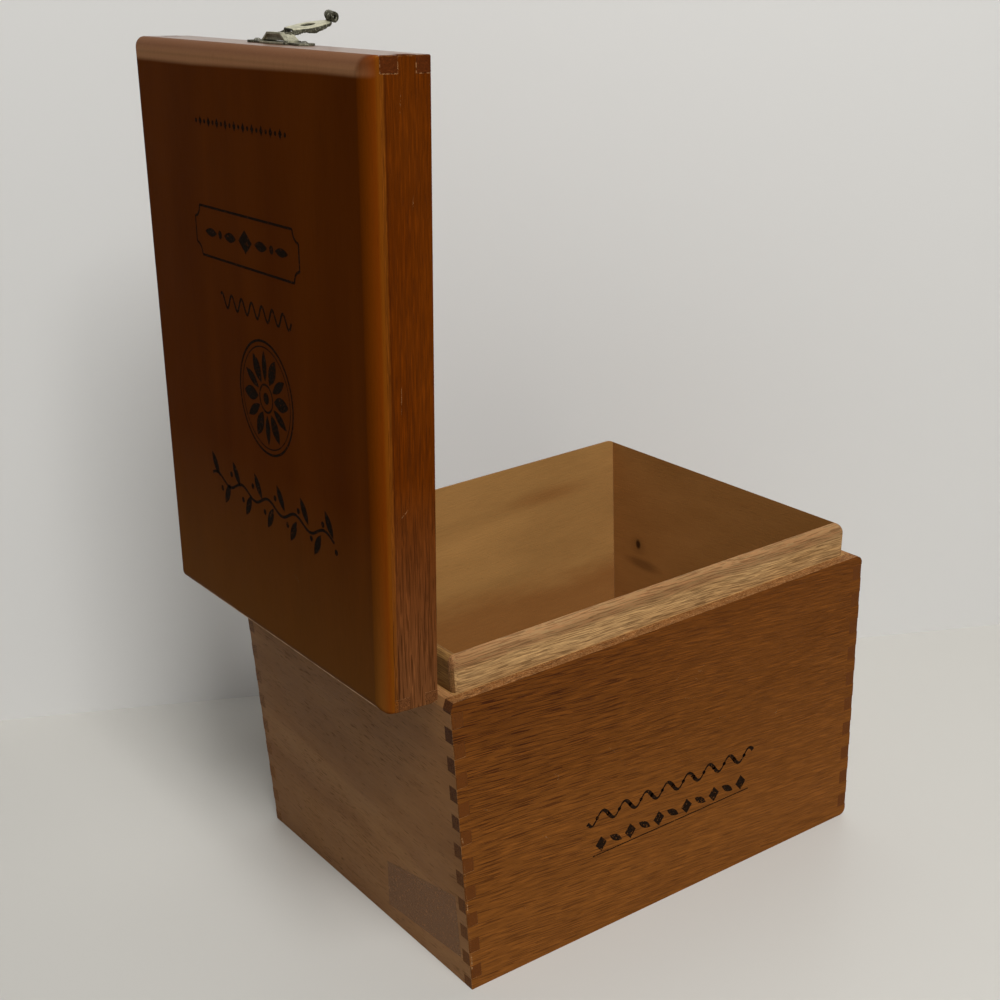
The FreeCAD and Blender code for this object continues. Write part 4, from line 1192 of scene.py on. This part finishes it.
def curl():
    # a stem rising from the tongue's tip, widening into a strip rolled up on itself
    at, rise, radius = tongue["curlAt"], tongue["curlRise"], tongue["curlRadius"]
    angles = np.radians(np.linspace(*tongue["curlTurn"], 40))
    radii = radius * np.interp(np.arange(40), [24, 39], [1.0, tongue["curlEnd"]])
    roll = np.column_stack([at + radii * np.cos(angles), rise + radii * np.sin(angles)])
    stem = [[at - radius * tongue["stemBack"], tongue["top"] + height] for height in tongue["stemFoot"]]
    path = np.vstack([stem, roll])
    halves = np.interp(np.arange(len(path)), [3, 7], [tongue["stemHalf"], tongue["curlHalf"]])
    points, faces = bentStrip(path, halves, tongue["curlSheet"])
    return points[:, [2, 0, 1]], faces


def eyes():
    # the two ears that take the pin, each with an arm to the sheet
    parts, count = [], 24
    walls = [face for first, second in ((0, 1), (1, 3), (3, 2), (2, 0))
             for face in between(first * count, second * count, count)]
    for side in (-1.0, 1.0):
        rings = [np.column_stack([np.full(count, side * x), disc(0.0, 0.0, radius, count)[0]])
                 for radius in tongue["eyeRadii"] for x in tongue["eyeSides"]]
        parts.append((np.vstack(rings), walls))
        parts.append(prism(*(np.column_stack([np.full(4, side * x), tongue["arm"]])
                             for x in tongue["armSides"])))
    return joined(parts)


def tongueTarnishAndShade(closed):
    # tarnish and painted shade: bright on the web, dark on the turned-down edges and the curl, darkest inside the
    # edges under the web
    rest = clasp["restAngle"]
    y, z = closed[:, 1] + halfDepth + clasp["pinOut"], closed[:, 2] - clasp["plateZ"] + clasp["pinDown"]
    along = -y * math.sin(rest) - z * math.cos(rest)
    twist = clasp["roll"] * np.clip(along / clasp["rollWithin"], 0.0, 1.0)
    out = -y * math.cos(rest) + z * math.sin(rest) - closed[:, 0] * np.sin(twist) - tongue["top"]
    web, edge, under, rolled = tongue["shades"]
    edgeBelow, wallWidth, curlAbove, curlAfter = tongue["shadeFrom"]
    inside = np.abs(closed[:, 0]) < tongueAt(along, "halfWidths") - wallWidth
    dark = np.where(out < -edgeBelow, np.where(inside, under, edge), web)
    return np.where((out > curlAbove) | (along > curlAfter), rolled, dark)


def makeTongue():
    points, faces = joined([tongueSheet(), curl(), eyes()])
    form = formFromFaces(tonguePlace(points), faces)
    easeEdges(form, tongue["ease"], 1)
    layTarnishAndShade(addPiece(form, "claspTongue", "lever", nickel, "clasp_lever"), "lid", tongueTarnishAndShade)


makeClaspPlate()
makeTongue()
print("clasp made")

# print: plain ornaments in dark ink, thin marks of wear and a bare label, laid within the boards' skin

ink = {
    "noise": (1300.0, 3.0, 0.7),
    "range": (0.62, 0.66),  # the noise from which the ink fades, and at which it is gone
    "lowering": (0.25, 0.2),  # how far a full share of breaks lowers each
    "roughness": 0.6,
    "specular": 0.01,
}


def makeInk(name, colour, alpha, breaks):
    # an opaque or worn layer; breaks is the share of it that has rubbed off
    material, tree, shader = newMaterial(name, Base_Color=colour, Roughness=ink["roughness"],
                                         Specular_IOR_Level=ink["specular"])
    low, high = (end - breaks * lowering for end, lowering in zip(ink["range"], ink["lowering"]))
    rubbedAndHighlit = remap(noise(attribute(tree, "place"), *ink["noise"]), low, high)
    link(times(minus(1.0, rubbedAndHighlit), alpha), shader.inputs["Alpha"])
    return material


lidInk = makeInk("lidInk", shade(24, 16, 10), 0.95, 0.1)
endInk = makeInk("endInk", shade(30, 20, 13), 0.95, 0.08)
scratch = makeInk("scratchMark", shade(172, 124, 80), 0.36, 0.7)
rawEdge = makeInk("rawEdgeMark", shade(184, 142, 98), 0.55, 0.7)
labelPaper = makeInk("labelPaper", shade(148, 112, 86), 0.6, 0.1)


def turned(points, angle):
    cosine, sine = math.cos(math.radians(angle)), math.sin(math.radians(angle))
    return points @ np.array([[cosine, sine], [-sine, cosine]])


def polygon(*corners):
    return [corners]


def stroke(path, width):
    # a line of even or given width as one polygon per stretch
    path = np.array(path)
    side = leftOf(path) * np.broadcast_to(width, len(path))[:, None] / 2
    left, right = path + side, path - side
    return [np.array([left[i], right[i], right[i + 1], left[i + 1]]) for i in range(len(path) - 1)]


def wave(first, last, count, level, height, pace, width, swell=0.0):
    along = np.linspace(first, last, count)
    path = np.column_stack([along, level + height * np.sin(along * pace)])
    return stroke(path, width + swell * np.cos(along * pace))


def ring(x, y, radius, width, count):
    return stroke(arc((x, y), radius, 0.0, 360.0, count), width)


def lozenge(x, y, halfLong, halfHigh):
    return [np.array([[x - halfLong, y], [x, y - halfHigh], [x + halfLong, y], [x, y + halfHigh]])]


def leaf(x, y, halfLong, halfHigh, turn=0.0):
    # two arcs that meet in points: half height is h (1 - t^2) over t from -1 to 1
    t = np.linspace(-1.0, 1.0, 12)
    bow = halfHigh * (1.0 - t ** 2)
    upper = np.column_stack([t * halfLong, bow])
    outline = np.vstack([upper, (upper * [1, -1])[::-1][1:-1]])
    return [turned(outline, turn) + [x, y]]


def frameLine(x, y, halfLong, halfHigh, corner, width):
    # a closed outline with corners that curve inwards
    path = [arc((x + side * halfLong, y + rise * halfHigh), corner, start, start - 90.0, 8)
            for side, rise, start in ((1, 1, 270.0), (-1, 1, 360.0), (-1, -1, 90.0), (1, -1, 180.0))]
    path = np.vstack(path + [path[0][:1]])
    return [piece for i in range(len(path) - 1) for piece in stroke(path[i:i + 2], width)]


def row(shape, first, last, count, level, *size):
    return [piece for x in np.linspace(first, last, count) for piece in shape(x, level, *size)]


def wheel(x, y, reach, first, halfLong, halfHigh):
    # six leaves around a centre, from the first one's angle on
    spokes = [(turned(np.array([reach, 0.0]), turn) + [x, y], turn) for turn in range(first, 360, 60)]
    return [piece for place, turn in spokes for piece in leaf(*place, halfLong, halfHigh, turn)]


def scratchLine(width, *line):
    # widest in its middle
    path = np.reshape(line, (-1, 2))
    taper = np.sin(np.linspace(0.25, math.pi - 0.25, 9))
    steps = np.linspace(0, len(path) - 1, len(taper))
    dense = np.column_stack([np.interp(steps, np.arange(len(path)), axis) for axis in path.T])
    return stroke(dense, taper * width)


innerWidth, innerDepth, innerTop = (
    reach - easing["skin"] for reach in (halfWidth, halfDepth, easing["lidTop"]))
surfaces = {
    # the body, the node in whose slot the print goes, and the closed box's point at (a, b) and height h
    "lidTop": ("lid", "lid_top_panel", lambda a, b, h: (a, b, innerTop + h)),
    "nearEnd": ("carcass", "left_end_panel", lambda a, b, h: (-innerWidth - h, a, b)),
    "lidNearSide": ("lid", "lid_left_rail", lambda a, b, h: (-innerWidth - h, a, b)),
    "back": ("carcass", "back_panel", lambda a, b, h: (a, innerDepth + h, b)),
}
layers = {"foot": -0.012, "print": 0.016, "mark": 0.02, "paper": 0.008}  # heights over the wood in mm
prints = {
    # piece: surface, layer, material, then its shapes with their sizes in mm, x and y on the lid, y and z on
    # the end; down the lid from its front: a row of beads, a long frame, a wave, a rosette and a leaf band
    "lidBeadRow": (
        "lidTop", "print", lidInk, (row, disc, 29.0, -30.0, 11, -71.3, 0.7),
        (row, lozenge, 26.05, -27.05, 10, -71.3, 1.1, 1.5)),
    "lidCartouche": (
        "lidTop", "print", lidInk, (frameLine, 0.0, -38.5, 35.0, 7.6, 3.6, 0.75),
        (lozenge, 0.0, -38.5, 4.6, 3.6), (row, leaf, -10.5, 10.5, 2, -38.5, 4.2, 1.5),
        (row, disc, -17.5, 17.5, 2, -38.5, 1.3), (row, leaf, -24.0, 24.0, 2, -38.5, 4.2, 1.3)),
    "lidWave": ("lidTop", "print", lidInk, (wave, 20.0, -28.0, 90, -18.5, 2.2, 0.9, 0.9)),
    "lidRosette": (
        "lidTop", "print", lidInk, (ring, -8.0, 8.0, 18.0, 0.8, 72), (ring, -8.0, 8.0, 16.2, 0.4, 72),
        (ring, -8.0, 8.0, 4.4, 0.7, 56), (disc, -8.0, 8.0, 1.9),
        (wheel, -8.0, 8.0, 10.2, 0, 4.9, 2.3), (wheel, -8.0, 8.0, 10.2, 30, 4.9, 1.6)),
    "lidGarland": (
        "lidTop", "print", lidInk, (wave, 37.0, -49.0, 120, 43.5, 1.6, 0.33, 1.0),
        (row, leaf, 26.0, -38.0, 5, 47.9, 4.6, 1.7, 58.0), (row, disc, 22.0, -42.0, 5, 40.1, 1.0),
        (row, leaf, 34.0, -46.0, 6, 39.1, 4.6, 1.7, -58.0), (row, disc, 30.0, -50.0, 6, 46.9, 1.0)),
    # pale lines around the lid's front joints and on the box's near corner
    "lidJointLines": ("lidNearSide", "mark", scratch, *((stroke, line, 0.28) for line in (
        ((-89.0, 115.3), (-89.0, 119.6)), ((-89.0, 125.2), (-89.0, 130.6)),
        ((-93.1, 119.6), (-89.0, 119.6)), ((-93.1, 125.2), (-89.0, 125.2)),
        ((-93.1, 130.6), (-89.0, 130.6))))),
    "nearCornerChips": ("nearEnd", "mark", rawEdge, *(
        (stroke, ((92.75, high), (92.8, (low + high) / 2), (92.75, low)), 0.6)
        for high, low in ((36.8, 32.3), (14.3, 8.5), (64.0, 62.0)))),
    "nearCornerRubs": ("nearEnd", "print", scratch, *(
        (stroke, ((92.9, high), (92.7, (low + high) / 2), (92.9, low)), 0.3)
        for high, low in ((57.0, 44.0), (41.0, 31.0), (28.0, 13.0)))),
    # two rows of waves, leaves and lozenges across the near end
    "endWaveRow": ("nearEnd", "print", endInk, (wave, 40.0, -40.0, 160, 49.0, 2.4, 0.62, 1.1, 0.5), *(
        (disc, y, 49.0 - 2.3 * math.sin(y * 0.62), 0.8) for y in np.linspace(35.5, -35.5, 15))),
    "endLozengeRow": (
        "nearEnd", "print", endInk, (row, leaf, 27.2, -27.2, 5, 37.5, 3.4, 1.3, 35.0),
        (row, lozenge, 34.0, -34.0, 6, 37.5, 2.6, 3.2),
        (stroke, ((38.0, 33.4), (0.0, 33.4), (-38.0, 33.4)), 0.45)),
    "bareLabel": (
        "back", "paper", labelPaper, (polygon, (-21.3, 27.6), (-68.5, 37.0), (-69.2, 11.0), (-19.1, 6.9))),
}
scratches = {
    # by surface, each scratch's width and then its points
    "nearEnd": (
        (0.35, -0.2, 93.4, -1.3, 92.2, -3.0, 94.0), (0.4, -11.6, 93.2, -12.7, 91.6, -14.8, 94.6),
        (0.35, -10.6, 90.0, -11.6, 88.8), (0.4, 30.0, 76.5, 26.5, 72.6), (0.3, -22.0, 70.0, -26.0, 69.0),
        (0.4, 60.0, 52.0, 57.0, 49.0), (0.3, -50.0, 60.0, -52.5, 63.5), (0.35, 12.0, 20.0, 8.0, 18.6),
        (0.3, -5.0, 84.0, -9.0, 82.4, -11.0, 83.4), (0.35, 70.0, 26.0, 67.5, 22.8),
        (0.3, 53.8, 74.6, 52.0, 73.0, 52.3, 71.0), (0.28, 38.0, 41.0, 36.0, 39.6),
        (0.28, -34.0, 48.0, -36.5, 47.0), (0.28, 84.0, 72.0, 81.0, 70.2)),
    "lidTop": (
        (0.5, 52.0, 20.0, 50.8, 21.6), (0.3, 44.0, -44.0, 41.0, -42.5), (0.3, -20.0, 62.0, -25.0, 65.5),
        (0.3, 20.0, 58.0, 14.0, 60.0), (0.25, -55.0, 20.0, -56.0, 26.0)),
    "lidNearSide": (
        (0.3, -84.0, 124.5, -79.0, 124.9), (0.3, -60.0, 121.0, -55.0, 121.4), (0.3, -8.0, 126.0, 0.0, 126.2),
        (0.3, 28.0, 124.0, 31.0, 127.5), (0.3, 50.0, 120.0, 53.0, 122.0)),
}


def layPrint(name, surface, layer, material, shapes):
    # each polygon of the shapes becomes a thin closed slab with its foot sunk in the wood
    body, node, lay = surfaces[surface]
    slabs = []
    for shape, *sizes in shapes:
        for outline in shape(*sizes):
            a, b = (np.array(outline) * mm).T
            slabs.append(prism(*(np.column_stack(np.broadcast_arrays(*lay(a, b, layers[key] * mm)))
                                 for key in ("foot", layer))))
    points, faces = joined(slabs)
    form = formFromFaces(openPlace(points, body), faces)
    layTarnishAndShade(addPiece(form, name, body, material, node, replaced=False, smooth=False), body, 0.0)


for piece, (surface, layer, material, *shapes) in prints.items():
    layPrint(piece, surface, layer, material, shapes)
for surface, marks in scratches.items():
    layPrint(surface + "Scratches", surface, "mark", scratch, [(scratchLine, *mark) for mark in marks])
print("print and marks laid")
